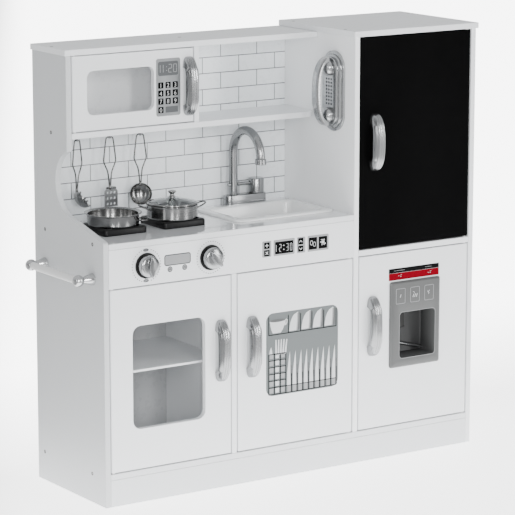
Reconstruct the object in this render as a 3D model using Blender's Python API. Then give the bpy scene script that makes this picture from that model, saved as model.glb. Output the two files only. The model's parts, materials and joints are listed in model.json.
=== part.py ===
"""Toy kitchen: painted-board cabinets with pivot-hung doors, hob, sink, tap, phone and cookware.

Metres, +Z up. X runs along the front from the cabinet's left end and Y from its front to its back.
Every piece hangs on one empty, which puts the origin under the middle of the whole kitchen.
"""
import math

import bmesh
import bpy
from mathutils import Matrix, Vector

# Driving dimensions of the cabinets
WIDTH = 0.920
DEPTH = 0.277
TALL_HEIGHT = 0.919
COUNTER_TOP = 0.536
PANEL = 0.012
LEFT_BAY = 0.2885
MIDDLE_BAY = 0.2925
UPPER_FRONT = 0.139
KICK_HEIGHT = 0.056
FASCIA_BOTTOM = 0.4455
SHELF_BOTTOM = 0.7265
BACK_FACE = 0.257
BACK_PANEL = 0.006
OVERHANG = 0.004
DOOR_GAP = 0.0025
SLIP = 0.0003

# Driving dimensions of the fittings
LONG_HANDLE = 0.129
SHORT_HANDLE = 0.1215
HANDLE_WIDTH = 0.029
HANDLE_REACH = 0.0275
HANDLE_FOOT = 0.0225
RAIL_REACH = 0.045
PIVOT_INSET = 0.006
EDGE_ROUND = 0.0008

# Lines that the boards share
DIVIDER_X = PANEL + LEFT_BAY
TALL_X = DIVIDER_X + PANEL + MIDDLE_BAY
FLOOR_TOP = KICK_HEIGHT + PANEL
COUNTER_BOTTOM = COUNTER_TOP - PANEL
SHELF_TOP = SHELF_BOTTOM + PANEL
TALL_TOP_BOTTOM = TALL_HEIGHT - PANEL
LEFT_TOP_BOTTOM = TALL_TOP_BOTTOM - SLIP - PANEL
FRIDGE_FLOOR_BOTTOM = FASCIA_BOTTOM + 0.0007
FRIDGE_FLOOR_TOP = FRIDGE_FLOOR_BOTTOM + PANEL
INNER_LEFT = PANEL + SLIP
INNER_RIGHT = WIDTH - PANEL - SLIP
BACK_STOP = BACK_FACE - SLIP

for old in list(bpy.data.objects):
    bpy.data.objects.remove(old, do_unlink=True)

KITCHEN = bpy.data.objects.new("kitchen_origin", None)
KITCHEN.location = (-(WIDTH + OVERHANG - RAIL_REACH) / 2, -(DEPTH - HANDLE_REACH) / 2, 0)
bpy.context.scene.collection.objects.link(KITCHEN)


def material(name, color, roughness, metallic=0.0):
    paint = bpy.data.materials.new(name)
    paint.use_nodes = True
    shader = paint.node_tree.nodes["Principled BSDF"]
    shader.inputs["Base Color"].default_value = (*color, 1)
    shader.inputs["Roughness"].default_value = roughness
    shader.inputs["Metallic"].default_value = metallic
    paint.diffuse_color = (*color, 1)
    return paint


WHITE = material("white_paint", (0.80, 0.81, 0.82), 0.45)
TILE = material("tile_print", (0.76, 0.78, 0.80), 0.35)
BLACKBOARD = material("blackboard_paint", (0.012, 0.012, 0.012), 0.6)
SILVER = material("silver_plastic", (0.52, 0.53, 0.54), 0.3, 0.6)
GREY = material("grey_plastic", (0.25, 0.26, 0.26), 0.4, 0.3)
BLACK = material("black_plastic", (0.02, 0.02, 0.02), 0.4)
PALE = material("pale_plastic", (0.74, 0.74, 0.73), 0.4)
BASIN = material("basin_plastic", (0.72, 0.73, 0.73), 0.35)
CHROME = material("chrome", (0.75, 0.75, 0.76), 0.12, 1.0)
STEEL = material("stainless_steel", (0.6, 0.6, 0.6), 0.25, 1.0)
GLASS = material("lid_glass", (0.6, 0.63, 0.64), 0.1)


# ---- shapes in bmesh ------------------------------------------------------------------------

def bridge(bm, first, second):
    """Join two rings of the same length with quads."""
    for i in range(len(first)):
        j = (i + 1) % len(first)
        bm.faces.new((first[i], first[j], second[j], second[i]))


def loft(bm, rings):
    """Skin a row of point rings and cap both ends."""
    made = [[bm.verts.new(point) for point in ring] for ring in rings]
    for first, second in zip(made, made[1:]):
        bridge(bm, first, second)
    bm.faces.new(made[0])
    bm.faces.new(made[-1])


def on_axis(axis, along, point):
    """Put a 2-D outline point at a distance along one axis; the outline keeps X, Y, Z order."""
    place = list(point)
    place.insert("XYZ".index(axis), along)
    return Vector(place)


def prism(bm, outline, axis, start, end):
    """Extrude a 2-D outline along an axis."""
    loft(bm, [[on_axis(axis, along, point) for point in outline] for along in (start, end)])


def lathe(bm, profile, sides, placed=Matrix()):
    """Turn a (radius, height) profile about Z; it starts and ends on the axis."""
    rings = []
    for radius, height in profile[1:-1]:
        angles = [math.tau * (k + 0.5) / sides for k in range(sides)]
        rings.append([bm.verts.new(placed @ Vector((radius * math.cos(a), radius * math.sin(a), height)))
                      for a in angles])
    for first, second in zip(rings, rings[1:]):
        bridge(bm, first, second)
    for ring, height in ((rings[0], profile[0][1]), (rings[-1], profile[-1][1])):
        pole = bm.verts.new(placed @ Vector((0, 0, height)))
        for i in range(sides):
            bm.faces.new((ring[i], ring[(i + 1) % sides], pole))


def sweep(bm, path, radius, sides):
    """Run a round section along a path; radius is one number, or one for each point."""
    points = [Vector(point) for point in path]
    radii = radius if isinstance(radius, list) else [radius] * len(points)
    rings = []
    normal = None
    for i, point in enumerate(points):
        before = points[max(i - 1, 0)]
        after = points[min(i + 1, len(points) - 1)]
        tangent = (after - before).normalized()
        if normal is None:
            normal = tangent.orthogonal()
        normal = (normal - tangent * normal.dot(tangent)).normalized()
        across = tangent.cross(normal)
        angles = [math.tau * k / sides for k in range(sides)]
        rings.append([point + (normal * math.cos(a) + across * math.sin(a)) * radii[i] for a in angles])
    loft(bm, rings)


def arc(center, radius, start, end, steps):
    """Points of an arc in degrees, both ends included."""
    turns = [math.radians(start + (end - start) * k / steps) for k in range(steps + 1)]
    return [(center[0] + radius * math.cos(a), center[1] + radius * math.sin(a)) for a in turns]


def rounded_rectangle(low, high, radius, steps=4):
    corners = ((high[0], high[1], 0), (low[0], high[1], 90), (low[0], low[1], 180), (high[0], low[1], 270))
    outline = []
    for x, z, start in corners:
        inward_x = -radius if x == high[0] else radius
        inward_z = -radius if z == high[1] else radius
        outline += arc((x + inward_x, z + inward_z), radius, start, start + 90, steps)
    return outline


def stadium(half_straight, radius, steps):
    """An upright oblong with round ends, about its own middle."""
    upper = arc((0, half_straight), radius, 0, 180, steps)
    lower = arc((0, -half_straight), radius, 180, 360, steps)
    return upper + lower


# ---- objects --------------------------------------------------------------------------------

def make(name, bm, paint, pivot=(0, 0, 0), smooth=None):
    """Turn a bmesh in cabinet coordinates into an object whose origin is its pivot."""
    bmesh.ops.recalc_face_normals(bm, faces=bm.faces)
    bmesh.ops.translate(bm, verts=bm.verts, vec=-Vector(pivot))
    mesh = bpy.data.meshes.new(name)
    bm.to_mesh(mesh)
    bm.free()
    mesh.materials.append(paint)
    if smooth:
        mesh.shade_smooth()
        mesh.set_sharp_from_angle(angle=math.radians(smooth))
    piece = bpy.data.objects.new(name, mesh)
    piece.location = pivot
    piece.parent = KITCHEN
    bpy.context.scene.collection.objects.link(piece)
    return piece


def combine(piece, operation, bm):
    """Cut a shape out of a piece, or join it on, with a live Boolean."""
    tool = make(piece.name + "_tool", bm, piece.data.materials[0])
    tool.hide_render = True
    tool.display_type = "WIRE"
    modifier = piece.modifiers.new(operation.lower(), "BOOLEAN")
    modifier.operation = operation
    modifier.solver = "EXACT"
    modifier.object = tool


def soften(piece, width=EDGE_ROUND):
    """Take the sharp edge off a board."""
    modifier = piece.modifiers.new("soft_edge", "BEVEL")
    modifier.width = width
    modifier.segments = 1
    modifier.limit_method = "ANGLE"
    modifier.angle_limit = math.radians(40)


def block(bm, low, high):
    outline = [(low[0], low[1]), (high[0], low[1]), (high[0], high[1]), (low[0], high[1])]
    prism(bm, outline, "Z", low[2], high[2])


def board(name, low, high, paint=WHITE):
    bm = bmesh.new()
    block(bm, low, high)
    piece = make(name, bm, paint)
    soften(piece)
    return piece


def shaped_board(name, outline, axis, start, end, paint=WHITE):
    bm = bmesh.new()
    prism(bm, outline, axis, start, end)
    piece = make(name, bm, paint)
    soften(piece)
    return piece


# ---- cabinets -------------------------------------------------------------------------------

def left_side_panel():
    """The left end, scooped out between the counter and the upper unit."""
    scoop = (0.120, 0.638)
    scoop_radius = 0.0675
    ramp = 13.5
    curve = arc(scoop, scoop_radius, ramp - 90, 73.5, 14)
    start_y, start_z = curve[0]
    front_z = start_z - start_y * math.tan(math.radians(ramp))
    nose = arc((0.006, front_z - 0.0047), 0.006, 180, 103.5, 3)
    outline = [(0, 0)] + nose + curve
    outline += [(UPPER_FRONT, LEFT_TOP_BOTTOM - SLIP), (DEPTH, LEFT_TOP_BOTTOM - SLIP), (DEPTH, 0)]
    shaped_board("left_side_panel", outline, "X", 0, PANEL)


def middle_divider():
    """Stands on the floor board and is notched at the top for the control fascia."""
    outline = [(0, FLOOR_TOP + SLIP), (0, FASCIA_BOTTOM - SLIP), (PANEL + SLIP, FASCIA_BOTTOM - SLIP),
               (PANEL + SLIP, COUNTER_BOTTOM - SLIP), (BACK_STOP, COUNTER_BOTTOM - SLIP),
               (BACK_STOP, FLOOR_TOP + SLIP)]
    shaped_board("middle_divider", outline, "X", DIVIDER_X, DIVIDER_X + PANEL)


def upper_shelf_board():
    corner = 0.024
    right = TALL_X - SLIP
    outline = [(INNER_LEFT, BACK_STOP), (INNER_LEFT, UPPER_FRONT)]
    outline += arc((right - corner, UPPER_FRONT + corner), corner, 270, 360, 5)
    outline += [(right, BACK_STOP)]
    shaped_board("upper_shelf_board", outline, "Z", SHELF_BOTTOM, SHELF_TOP)


def cabinets():
    left_side_panel()
    middle_divider()
    upper_shelf_board()
    left_end = TALL_X - SLIP
    tall_start = TALL_X + PANEL + SLIP
    panel_foot = FLOOR_TOP + SLIP
    board("tall_left_panel", (TALL_X, 0, panel_foot), (TALL_X + PANEL, DEPTH, TALL_TOP_BOTTOM - SLIP))
    board("right_side_panel", (WIDTH - PANEL, 0, 0), (WIDTH, DEPTH, TALL_TOP_BOTTOM - SLIP))
    board("bottom_board", (INNER_LEFT, 0, KICK_HEIGHT), (INNER_RIGHT, DEPTH, FLOOR_TOP))
    board("kick_board", (INNER_LEFT, 0, 0), (INNER_RIGHT, PANEL, KICK_HEIGHT - SLIP))
    back_rear = BACK_FACE + BACK_PANEL
    board("left_back_panel", (INNER_LEFT, BACK_FACE, panel_foot),
          (left_end, back_rear, LEFT_TOP_BOTTOM - SLIP), TILE)
    board("tall_back_panel", (tall_start, BACK_FACE, panel_foot),
          (INNER_RIGHT, back_rear, TALL_TOP_BOTTOM - SLIP))
    board("fridge_floor_board", (tall_start, 0, FRIDGE_FLOOR_BOTTOM),
          (INNER_RIGHT, BACK_STOP, FRIDGE_FLOOR_TOP))
    board("upper_top_board", (-OVERHANG, UPPER_FRONT - OVERHANG, LEFT_TOP_BOTTOM),
          (left_end, DEPTH, LEFT_TOP_BOTTOM + PANEL))
    board("tall_top_board", (TALL_X - OVERHANG, -OVERHANG, TALL_TOP_BOTTOM),
          (WIDTH + OVERHANG, DEPTH, TALL_HEIGHT))
    board("microwave_divider", (DIVIDER_X, UPPER_FRONT, SHELF_TOP + SLIP),
          (DIVIDER_X + PANEL, BACK_STOP, LEFT_TOP_BOTTOM - SLIP))
    oven_shelf_top = 0.267
    oven_shelf_front = 0.030
    board("oven_shelf", (INNER_LEFT, oven_shelf_front, oven_shelf_top - 0.005),
          (DIVIDER_X - SLIP, BACK_STOP, oven_shelf_top))


# ---- sink and counter -----------------------------------------------------------------------

BOWL_LOW = (0.372, 0.075)
BOWL_HIGH = (0.577, 0.203)
BOWL_DEPTH = 0.056
BOWL_WALL = 0.0025
BOWL_CORNER = 0.014
RIM_WIDTH = 0.020
RIM_HEIGHT = 0.0045


def grown(low, high, margin):
    return (low[0] - margin, low[1] - margin), (high[0] + margin, high[1] + margin)


def countertop():
    bm = bmesh.new()
    block(bm, (INNER_LEFT, 0, COUNTER_BOTTOM), (TALL_X - SLIP, BACK_STOP, COUNTER_TOP))
    piece = make("countertop", bm, WHITE)
    low, high = grown(BOWL_LOW, BOWL_HIGH, BOWL_WALL + 0.001)
    hole = bmesh.new()
    prism(hole, rounded_rectangle(low, high, BOWL_CORNER), "Z", COUNTER_BOTTOM - 0.01, COUNTER_TOP + 0.01)
    combine(piece, "DIFFERENCE", hole)
    soften(piece)


def sink_basin():
    rim_bottom = COUNTER_TOP + SLIP
    rim_top = rim_bottom + RIM_HEIGHT
    bowl_bottom = rim_top - BOWL_DEPTH

    def ring(margin, corner, height):
        low, high = grown(BOWL_LOW, BOWL_HIGH, margin)
        return [Vector((x, y, height)) for x, y in rounded_rectangle(low, high, corner)]

    bm = bmesh.new()
    taper = 0.004
    loft(bm, [ring(-taper, BOWL_CORNER - taper, bowl_bottom),
              ring(0, BOWL_CORNER, rim_top),
              ring(RIM_WIDTH, 0.018, rim_top),
              ring(RIM_WIDTH + 0.001, 0.019, rim_bottom),
              ring(BOWL_WALL, BOWL_CORNER, rim_bottom),
              ring(BOWL_WALL - taper, BOWL_CORNER - taper, bowl_bottom - BOWL_WALL)])
    make("sink_basin", bm, BASIN, smooth=35)


# ---- doors ----------------------------------------------------------------------------------

HOLE_RADIUS = 0.0029
HOLE_DEPTH = 0.010
PIN_RADIUS = 0.0024
WASHER_RADIUS = 0.004


def pivot_pin(name, x, y, edge, upward):
    """A pin with a washer in the gap and its shank in the door; edge is the door's own edge."""
    low, high = SLIP, DOOR_GAP - SLIP
    shank = -(HOLE_DEPTH - 0.001)
    profile = [(0, shank), (PIN_RADIUS, shank), (PIN_RADIUS, low),
               (WASHER_RADIUS, low), (WASHER_RADIUS, high), (0, high)]
    if not upward:
        profile = [(radius, -height) for radius, height in profile]
    bm = bmesh.new()
    lathe(bm, profile, 8, Matrix.Translation((x, y, edge)))
    make(name, bm, PALE, smooth=40)


def door(name, left, right, bottom, top, front, hinge, paint=WHITE, openings=()):
    """A flush door with a round hinge edge, two pin holes and any window openings."""
    pivot_x = left + PIVOT_INSET if hinge == "left" else right - PIVOT_INSET
    pivot_y = front + PANEL / 2
    back = front + PANEL
    nose = 0.003
    if hinge == "left":
        plan = arc((left + nose, back - nose), nose, 90, 180, 4)
        plan += arc((left + nose, front + nose), nose, 180, 270, 4) + [(right, front), (right, back)]
    else:
        plan = arc((right - nose, front + nose), nose, 270, 360, 4)
        plan += arc((right - nose, back - nose), nose, 0, 90, 4) + [(left, back), (left, front)]
    bm = bmesh.new()
    prism(bm, plan, "Z", bottom, top)
    piece = make(name, bm, paint, pivot=(pivot_x, pivot_y, (bottom + top) / 2))
    holes = bmesh.new()
    for low, high in ((bottom - HOLE_DEPTH, bottom + HOLE_DEPTH), (top - HOLE_DEPTH, top + HOLE_DEPTH)):
        profile = [(0, low), (HOLE_RADIUS, low), (HOLE_RADIUS, high), (0, high)]
        lathe(holes, profile, 10, Matrix.Translation((pivot_x, pivot_y, 0)))
    combine(piece, "DIFFERENCE", holes)
    for low, high, corner in openings:
        window = bmesh.new()
        prism(window, rounded_rectangle(low, high, corner), "Y", front - 0.01, back + 0.01)
        combine(piece, "DIFFERENCE", window)
    soften(piece)
    pivot_pin(name + "_upper_pin", pivot_x, pivot_y, top, True)
    pivot_pin(name + "_lower_pin", pivot_x, pivot_y, bottom, False)


def arch(half, rise, power, steps):
    """Points of a domed arch as (distance off its seat, height); power sets how full its shoulders are."""
    points = []
    for k in range(steps + 1):
        turn = math.pi * (k / steps - 0.5)
        points.append((rise * math.cos(turn), half * math.copysign(abs(math.sin(turn)) ** power, turn)))
    return points


def handle(name, x, z, front, height):
    """A D-shaped pull: a domed arch that stands off the door between two solid feet."""
    outline = [(-SLIP - off, up) for off, up in arch(height / 2, HANDLE_REACH - SLIP, 0.8, 12)]
    gap_half = height / 2 - HANDLE_FOOT
    gap_depth = 0.0116
    gap = [(-SLIP, gap_half), (-gap_depth * 0.7, gap_half - 0.001), (-gap_depth * 0.95, gap_half - 0.005),
           (-gap_depth, 0.012)]
    outline += gap + [(y, -up) for y, up in reversed(gap)]
    bm = bmesh.new()
    placed = [(front + y, z + up) for y, up in outline]
    prism(bm, placed, "X", x - HANDLE_WIDTH / 2, x + HANDLE_WIDTH / 2)
    make(name, bm, SILVER, smooth=30)


def doors():
    left_low, left_high = PANEL + DOOR_GAP, DIVIDER_X - DOOR_GAP
    middle_low, middle_high = DIVIDER_X + PANEL + DOOR_GAP, TALL_X - DOOR_GAP
    right_low, right_high = TALL_X + PANEL + DOOR_GAP, WIDTH - PANEL - DOOR_GAP
    bottom = FLOOR_TOP + DOOR_GAP
    top = FASCIA_BOTTOM - DOOR_GAP
    oven_window = ((0.0655, 0.153), (0.2365, 0.3645), 0.018)
    door("oven_door", left_low, left_high, bottom, top, 0, "left", openings=[oven_window])
    door("dishwasher_door", middle_low, middle_high, bottom, top, 0, "right")
    low, high = grown(NICHE_LOW, NICHE_HIGH, NICHE_WALL + 0.001)
    door("dispenser_door", right_low, right_high, bottom, FRIDGE_FLOOR_BOTTOM - DOOR_GAP, 0, "right",
         openings=[(low, high, NICHE_CORNER)])
    door("fridge_door", right_low, right_high, FRIDGE_FLOOR_TOP + DOOR_GAP, TALL_TOP_BOTTOM - DOOR_GAP,
         0, "right", paint=BLACKBOARD)
    microwave_window = ((0.0487, 0.772), (0.2045, 0.8607), 0.014)
    door("microwave_door", left_low, left_high, SHELF_TOP + DOOR_GAP, LEFT_TOP_BOTTOM - DOOR_GAP,
         UPPER_FRONT, "left", openings=[microwave_window])
    handle("oven_handle", 0.2738, 0.2893, 0, LONG_HANDLE)
    handle("dishwasher_handle", 0.3493, 0.2875, 0, LONG_HANDLE)
    handle("dispenser_door_handle", 0.6540, 0.2925, 0, LONG_HANDLE)
    handle("fridge_handle", 0.6570, 0.6850, 0, SHORT_HANDLE)
    handle("microwave_handle", 0.2870, 0.8145, UPPER_FRONT, SHORT_HANDLE)


# ---- dispenser in the lower right door ------------------------------------------------------

NICHE_LOW = (0.7215, 0.2145)
NICHE_HIGH = (0.8150, 0.3140)
NICHE_DEPTH = 0.045
NICHE_WALL = 0.0025
NICHE_CORNER = 0.009
PLATE_LOW = (0.698, 0.1945)
PLATE_HIGH = (0.830, 0.3815)
PLATE_THICK = 0.006


def dispenser():
    bm = bmesh.new()
    face = -SLIP - PLATE_THICK
    prism(bm, rounded_rectangle(PLATE_LOW, PLATE_HIGH, 0.005, 3), "Y", face, -SLIP)
    housing = make("dispenser_housing", bm, GREY)
    low, high = grown(NICHE_LOW, NICHE_HIGH, NICHE_WALL)
    shell = bmesh.new()
    prism(shell, rounded_rectangle(low, high, NICHE_CORNER), "Y", -SLIP - PLATE_THICK / 2, NICHE_DEPTH)
    combine(housing, "UNION", shell)
    cavity = bmesh.new()
    prism(cavity, rounded_rectangle(NICHE_LOW, NICHE_HIGH, NICHE_CORNER - NICHE_WALL), "Y", face - 0.01,
          NICHE_DEPTH - NICHE_WALL)
    combine(housing, "DIFFERENCE", cavity)
    lever = bmesh.new()
    hang_y, hang_z = 0.032, 0.309
    barrel = Matrix.Translation((0.750, hang_y, hang_z)) @ Matrix.Rotation(math.radians(90), 4, "Y")
    lathe(lever, [(0, -0.010), (0.0030, -0.010), (0.0030, 0.010), (0, 0.010)], 10, barrel)
    paddle = bmesh.new()
    outline = [(hang_y - 0.002, hang_z), (hang_y - 0.002, 0.277), (hang_y - 0.005, 0.273),
               (hang_y - 0.003, 0.272), (hang_y + 0.001, 0.2765), (hang_y + 0.002, hang_z)]
    prism(paddle, outline, "X", 0.7405, 0.7595)
    part = make("dispenser_lever", lever, BLACK, pivot=(0.750, hang_y, hang_z), smooth=40)
    combine(part, "UNION", paddle)


# ---- control fascia and its knobs -----------------------------------------------------------

KNOB_Z = 0.485
KNOB_XS = {"left": 0.0985, "right": 0.250}
SHAFT_RADIUS = 0.003
SHAFT_HOLE = 0.0036
COLLAR_RADIUS = 0.0262
KNOB_RADIUS = 0.0228
GRIP_REACH = 0.0270


def facing_front(x, y, z):
    """Turn a lathe's Z towards the front, so that heights run along -Y."""
    return Matrix.Translation((x, y, z)) @ Matrix.Rotation(math.radians(90), 4, "X")


def shaft_hole(x, front, back):
    bm = bmesh.new()
    lathe(bm, [(0, -back), (SHAFT_HOLE, -back), (SHAFT_HOLE, -front), (0, -front)], 16,
          facing_front(x, 0, KNOB_Z))
    return bm


def control_fascia():
    bm = bmesh.new()
    block(bm, (INNER_LEFT, 0, FASCIA_BOTTOM), (TALL_X - SLIP, PANEL, COUNTER_BOTTOM - SLIP))
    fascia = make("control_fascia", bm, WHITE)
    for x in KNOB_XS.values():
        combine(fascia, "DIFFERENCE", shaft_hole(x, -0.01, PANEL + 0.01))
    soften(fascia)


def knob(side, x, turn):
    """A black collar, and a domed knob with a lens-shaped grip; turn is the grip's lean in degrees."""
    collar_face = 0.0038
    bm = bmesh.new()
    collar = [(0, SLIP), (COLLAR_RADIUS, SLIP), (COLLAR_RADIUS - 0.0005, collar_face), (0, collar_face)]
    lathe(bm, collar, 28, facing_front(x, 0, KNOB_Z))
    combine(make(side + "_knob_collar", bm, BLACK, smooth=40), "DIFFERENCE", shaft_hole(x, -0.02, 0.02))
    skirt = collar_face + 0.0004
    dome = [(0, -0.020), (SHAFT_RADIUS, -0.020), (SHAFT_RADIUS, skirt), (KNOB_RADIUS, skirt),
            (KNOB_RADIUS, 0.0105), (0.0217, 0.0135), (0.0180, 0.0160), (0.0110, 0.0175), (0, 0.0180)]
    turned = bmesh.new()
    lathe(turned, dome, 24, facing_front(x, 0, KNOB_Z))
    piece = make(side + "_knob", turned, SILVER, pivot=(x, 0, KNOB_Z), smooth=40)
    half_width, half_height = 0.0078, 0.0215
    radius = (half_width ** 2 + half_height ** 2) / (2 * half_width)
    spread = math.degrees(math.asin(half_height / radius))
    right_side = arc((half_width - radius, 0), radius, -spread, spread, 8)
    left_side = arc((radius - half_width, 0), radius, 180 - spread, 180 + spread, 8)
    grip = bmesh.new()
    prism(grip, right_side[:-1] + left_side[:-1], "Y", -GRIP_REACH, -0.008)
    turned = Matrix.Rotation(math.radians(turn), 3, "Y")
    bmesh.ops.rotate(grip, verts=grip.verts, cent=(0, 0, 0), matrix=turned)
    bmesh.ops.translate(grip, verts=grip.verts, vec=(x, 0, KNOB_Z))
    combine(piece, "UNION", grip)


# ---- hob and cookware -----------------------------------------------------------------------

GRATE_SIDE = 0.100
GRATE_HEIGHT = 0.014
GRATE_CORNER = 0.008
GRATE_MIDDLES = {"left": (0.0955, 0.1210), "right": (0.2370, 0.1240)}
PAN_FLOOR = COUNTER_TOP + SLIP + GRATE_HEIGHT + SLIP
PAN_MIDDLE = (0.0955, 0.1245)
PAN_HEIGHT = 0.0245
POT_MIDDLE = (0.2350, 0.1225)
POT_HEIGHT = 0.0275
POT_WALL = 0.0022
PAN_LOOPS = (-42,)
POT_LOOPS = (-12.5, 167.5)


def burner_grate(side, x, y):
    """A square pan support: a frame with a cross, open in its four quarters."""
    half = GRATE_SIDE / 2
    base = COUNTER_TOP + SLIP
    bm = bmesh.new()
    outline = rounded_rectangle((x - half, y - half), (x + half, y + half), GRATE_CORNER)
    prism(bm, outline, "Z", base, base + GRATE_HEIGHT)
    grate = make(side + "_burner_grate", bm, BLACK)
    bar, frame = 0.006, 0.011
    quarters = bmesh.new()
    for sx in (-1, 1):
        for sy in (-1, 1):
            xs = sorted((x + sx * bar, x + sx * (half - frame)))
            ys = sorted((y + sy * bar, y + sy * (half - frame)))
            outline = rounded_rectangle((xs[0], ys[0]), (xs[1], ys[1]), bar, 2)
            prism(quarters, outline, "Z", base - 0.01, base + GRATE_HEIGHT + 0.01)
    combine(grate, "DIFFERENCE", quarters)


def loop_grip(x, y, z, radius, turn, slope):
    """A wire loop that stands out from a pot's wall; turn is its direction in degrees."""
    reach, half_width, wire = 0.0215, 0.013, 0.0017
    bm = bmesh.new()
    root = math.sqrt(radius ** 2 - half_width ** 2)
    weld = root - 0.0012
    path = [(weld, -half_width), (root + reach * 0.6, -half_width), (root + reach, -half_width * 0.4),
            (root + reach, half_width * 0.4), (root + reach * 0.6, half_width), (weld, half_width)]
    angle = math.radians(turn)
    across, along = math.cos(angle), math.sin(angle)
    points = [(x + u * across - v * along, y + u * along + v * across, z + (u - root) * slope)
              for u, v in path]
    sweep(bm, points, wire, 6)
    return bm


def cooking_pot(name, middle, radius, rim, height, turns, loop_drop, slope):
    """An open pot with a rolled rim and wire loops in the given directions."""
    x, y = middle
    top = PAN_FLOOR + height
    inner = radius - POT_WALL
    outside = [(0, PAN_FLOOR), (radius - 0.004, PAN_FLOOR), (radius, PAN_FLOOR + 0.004),
               (radius, top - 0.003), (rim, top - 0.001), (rim, top)]
    inside = [(inner, top - 0.001), (inner, PAN_FLOOR + 0.005), (inner - 0.003, PAN_FLOOR + POT_WALL),
              (0, PAN_FLOOR + POT_WALL)]
    bm = bmesh.new()
    lathe(bm, outside + inside, 24, Matrix.Translation((x, y, 0)))
    pot = make(name, bm, STEEL, pivot=(x, y, PAN_FLOOR), smooth=40)
    for turn in turns:
        combine(pot, "UNION", loop_grip(x, y, top - loop_drop, radius, turn, slope))


def pot_lid(middle, rim):
    """A shallow dome with a waisted knob; heights are above the pot's rim."""
    base = PAN_FLOOR + POT_HEIGHT + SLIP
    underside = [(0, 0.0118), (rim * 0.45, 0.0092), (rim * 0.8, 0.0042), (rim - 0.004, 0)]
    dome = [(rim, 0), (rim, 0.0035), (rim * 0.85, 0.0070), (rim * 0.5, 0.0120), (0.0048, 0.0150)]
    knob_end = [(0.0042, 0.0195), (0.0088, 0.0240), (0.0088, 0.0268), (0, 0.0277)]
    bm = bmesh.new()
    lathe(bm, underside + dome + knob_end, 24, Matrix.Translation((*middle, base)))
    make("pot_lid", bm, GLASS, pivot=(*middle, base), smooth=40)


def hob():
    for side, (x, y) in GRATE_MIDDLES.items():
        burner_grate(side, x, y)
    cooking_pot("pan", PAN_MIDDLE, 0.0525, 0.0585, PAN_HEIGHT, PAN_LOOPS, 0.0135, 0)
    cooking_pot("pot", POT_MIDDLE, 0.0520, 0.0535, POT_HEIGHT, POT_LOOPS, 0.0090, 0.42)
    pot_lid(POT_MIDDLE, 0.0525)


# ---- utensils under the shelf ---------------------------------------------------------------

HANG_Y = 0.236
HANG_Z = 0.709
WIRE = 0.0012
HOOK_WIRE = 0.0015
HOOK_CURL = 0.0065
NECK_TOP = HANG_Z - 0.100
NECK_BOTTOM = HANG_Z - 0.110
UTENSIL_XS = {"pasta_server": 0.0787, "slotted_turner": 0.1552, "ladle": 0.2283}


def hook_rail():
    """A strip under the shelf with one J-shaped hook for each utensil."""
    bm = bmesh.new()
    strip_top = SHELF_BOTTOM - SLIP
    block(bm, (0.055, HANG_Y - 0.005, strip_top - 0.004), (0.243, HANG_Y + 0.012, strip_top))
    rail = make("utensil_hook_rail", bm, CHROME)
    wire_gap = 0.0006
    curl_z = HANG_Z - WIRE - HOOK_WIRE - wire_gap + HOOK_CURL
    for x in UTENSIL_XS.values():
        curve = arc((HANG_Y, curl_z), HOOK_CURL, 0, -180, 8)
        path = [(x, HANG_Y + HOOK_CURL, strip_top - 0.002)] + [(x, y, z) for y, z in curve]
        path.append((x, HANG_Y - HOOK_CURL, curl_z + 0.003))
        hook = bmesh.new()
        sweep(hook, path, HOOK_WIRE, 8)
        combine(rail, "UNION", hook)


def wire_handle(bm, x, half_width, turn, lean):
    """A bent wire from the neck up round the hook and down again; lean shifts its foot sideways."""
    foot, shoulder = -0.108, -0.064
    side = [(0.0012, foot), (0.0018, -0.100), (0.0045, -0.075), (half_width * 0.55, shoulder),
            (half_width, -0.052), (half_width * 0.88, -0.035), (half_width * 0.66, -0.010),
            (half_width * 0.5, -0.003)]
    top = [(half_width * 0.25, 0), (-half_width * 0.25, 0)]
    angle = math.radians(turn)
    path = []
    for u, v in side + top + [(-u, v) for u, v in reversed(side)]:
        shift = lean * max(0, (shoulder - v) / (shoulder - foot))
        path.append((x + shift + u * math.cos(angle), HANG_Y + u * math.sin(angle), HANG_Z + v))
    sweep(bm, path, WIRE, 6)


def utensil(name, half_width, turn, head, lean=0):
    x = UTENSIL_XS[name]
    bm = bmesh.new()
    wire_handle(bm, x, half_width, turn, lean)
    piece = make(name, bm, STEEL, pivot=(x, HANG_Y, HANG_Z), smooth=50)
    neck = bmesh.new()
    sweep(neck, [(x + lean, HANG_Y, NECK_TOP), (x + lean, HANG_Y, NECK_BOTTOM)], 0.0027, 8)
    combine(piece, "UNION", neck)
    combine(piece, "UNION", head)


def bowl_head(center, radius, depth, mouth):
    """A round spoon bowl about the middle of its rim; mouth is the direction that it opens to."""
    wall = 0.0018
    angles = [math.radians(22.5 * k) for k in range(5)]
    outer = [(radius * math.sin(a), -depth * math.cos(a)) for a in angles]
    inner = [((radius - wall) * math.sin(a), (wall - depth) * math.cos(a)) for a in reversed(angles)]
    placed = Matrix.Translation(center) @ Vector(mouth).to_track_quat("Z", "Y").to_matrix().to_4x4()
    bm = bmesh.new()
    lathe(bm, outer + inner, 16, placed)
    return bm


BLADE_SHIFT = 0.0024


def turner_head():
    x = UTENSIL_XS["slotted_turner"] + BLADE_SHIFT
    half, thick = 0.0156, 0.0024
    low, high = HANG_Z - 0.146, HANG_Z - 0.104
    bm = bmesh.new()
    block(bm, (x - half, HANG_Y - thick / 2, low), (x + half, HANG_Y + thick / 2, high))
    return bm


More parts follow.
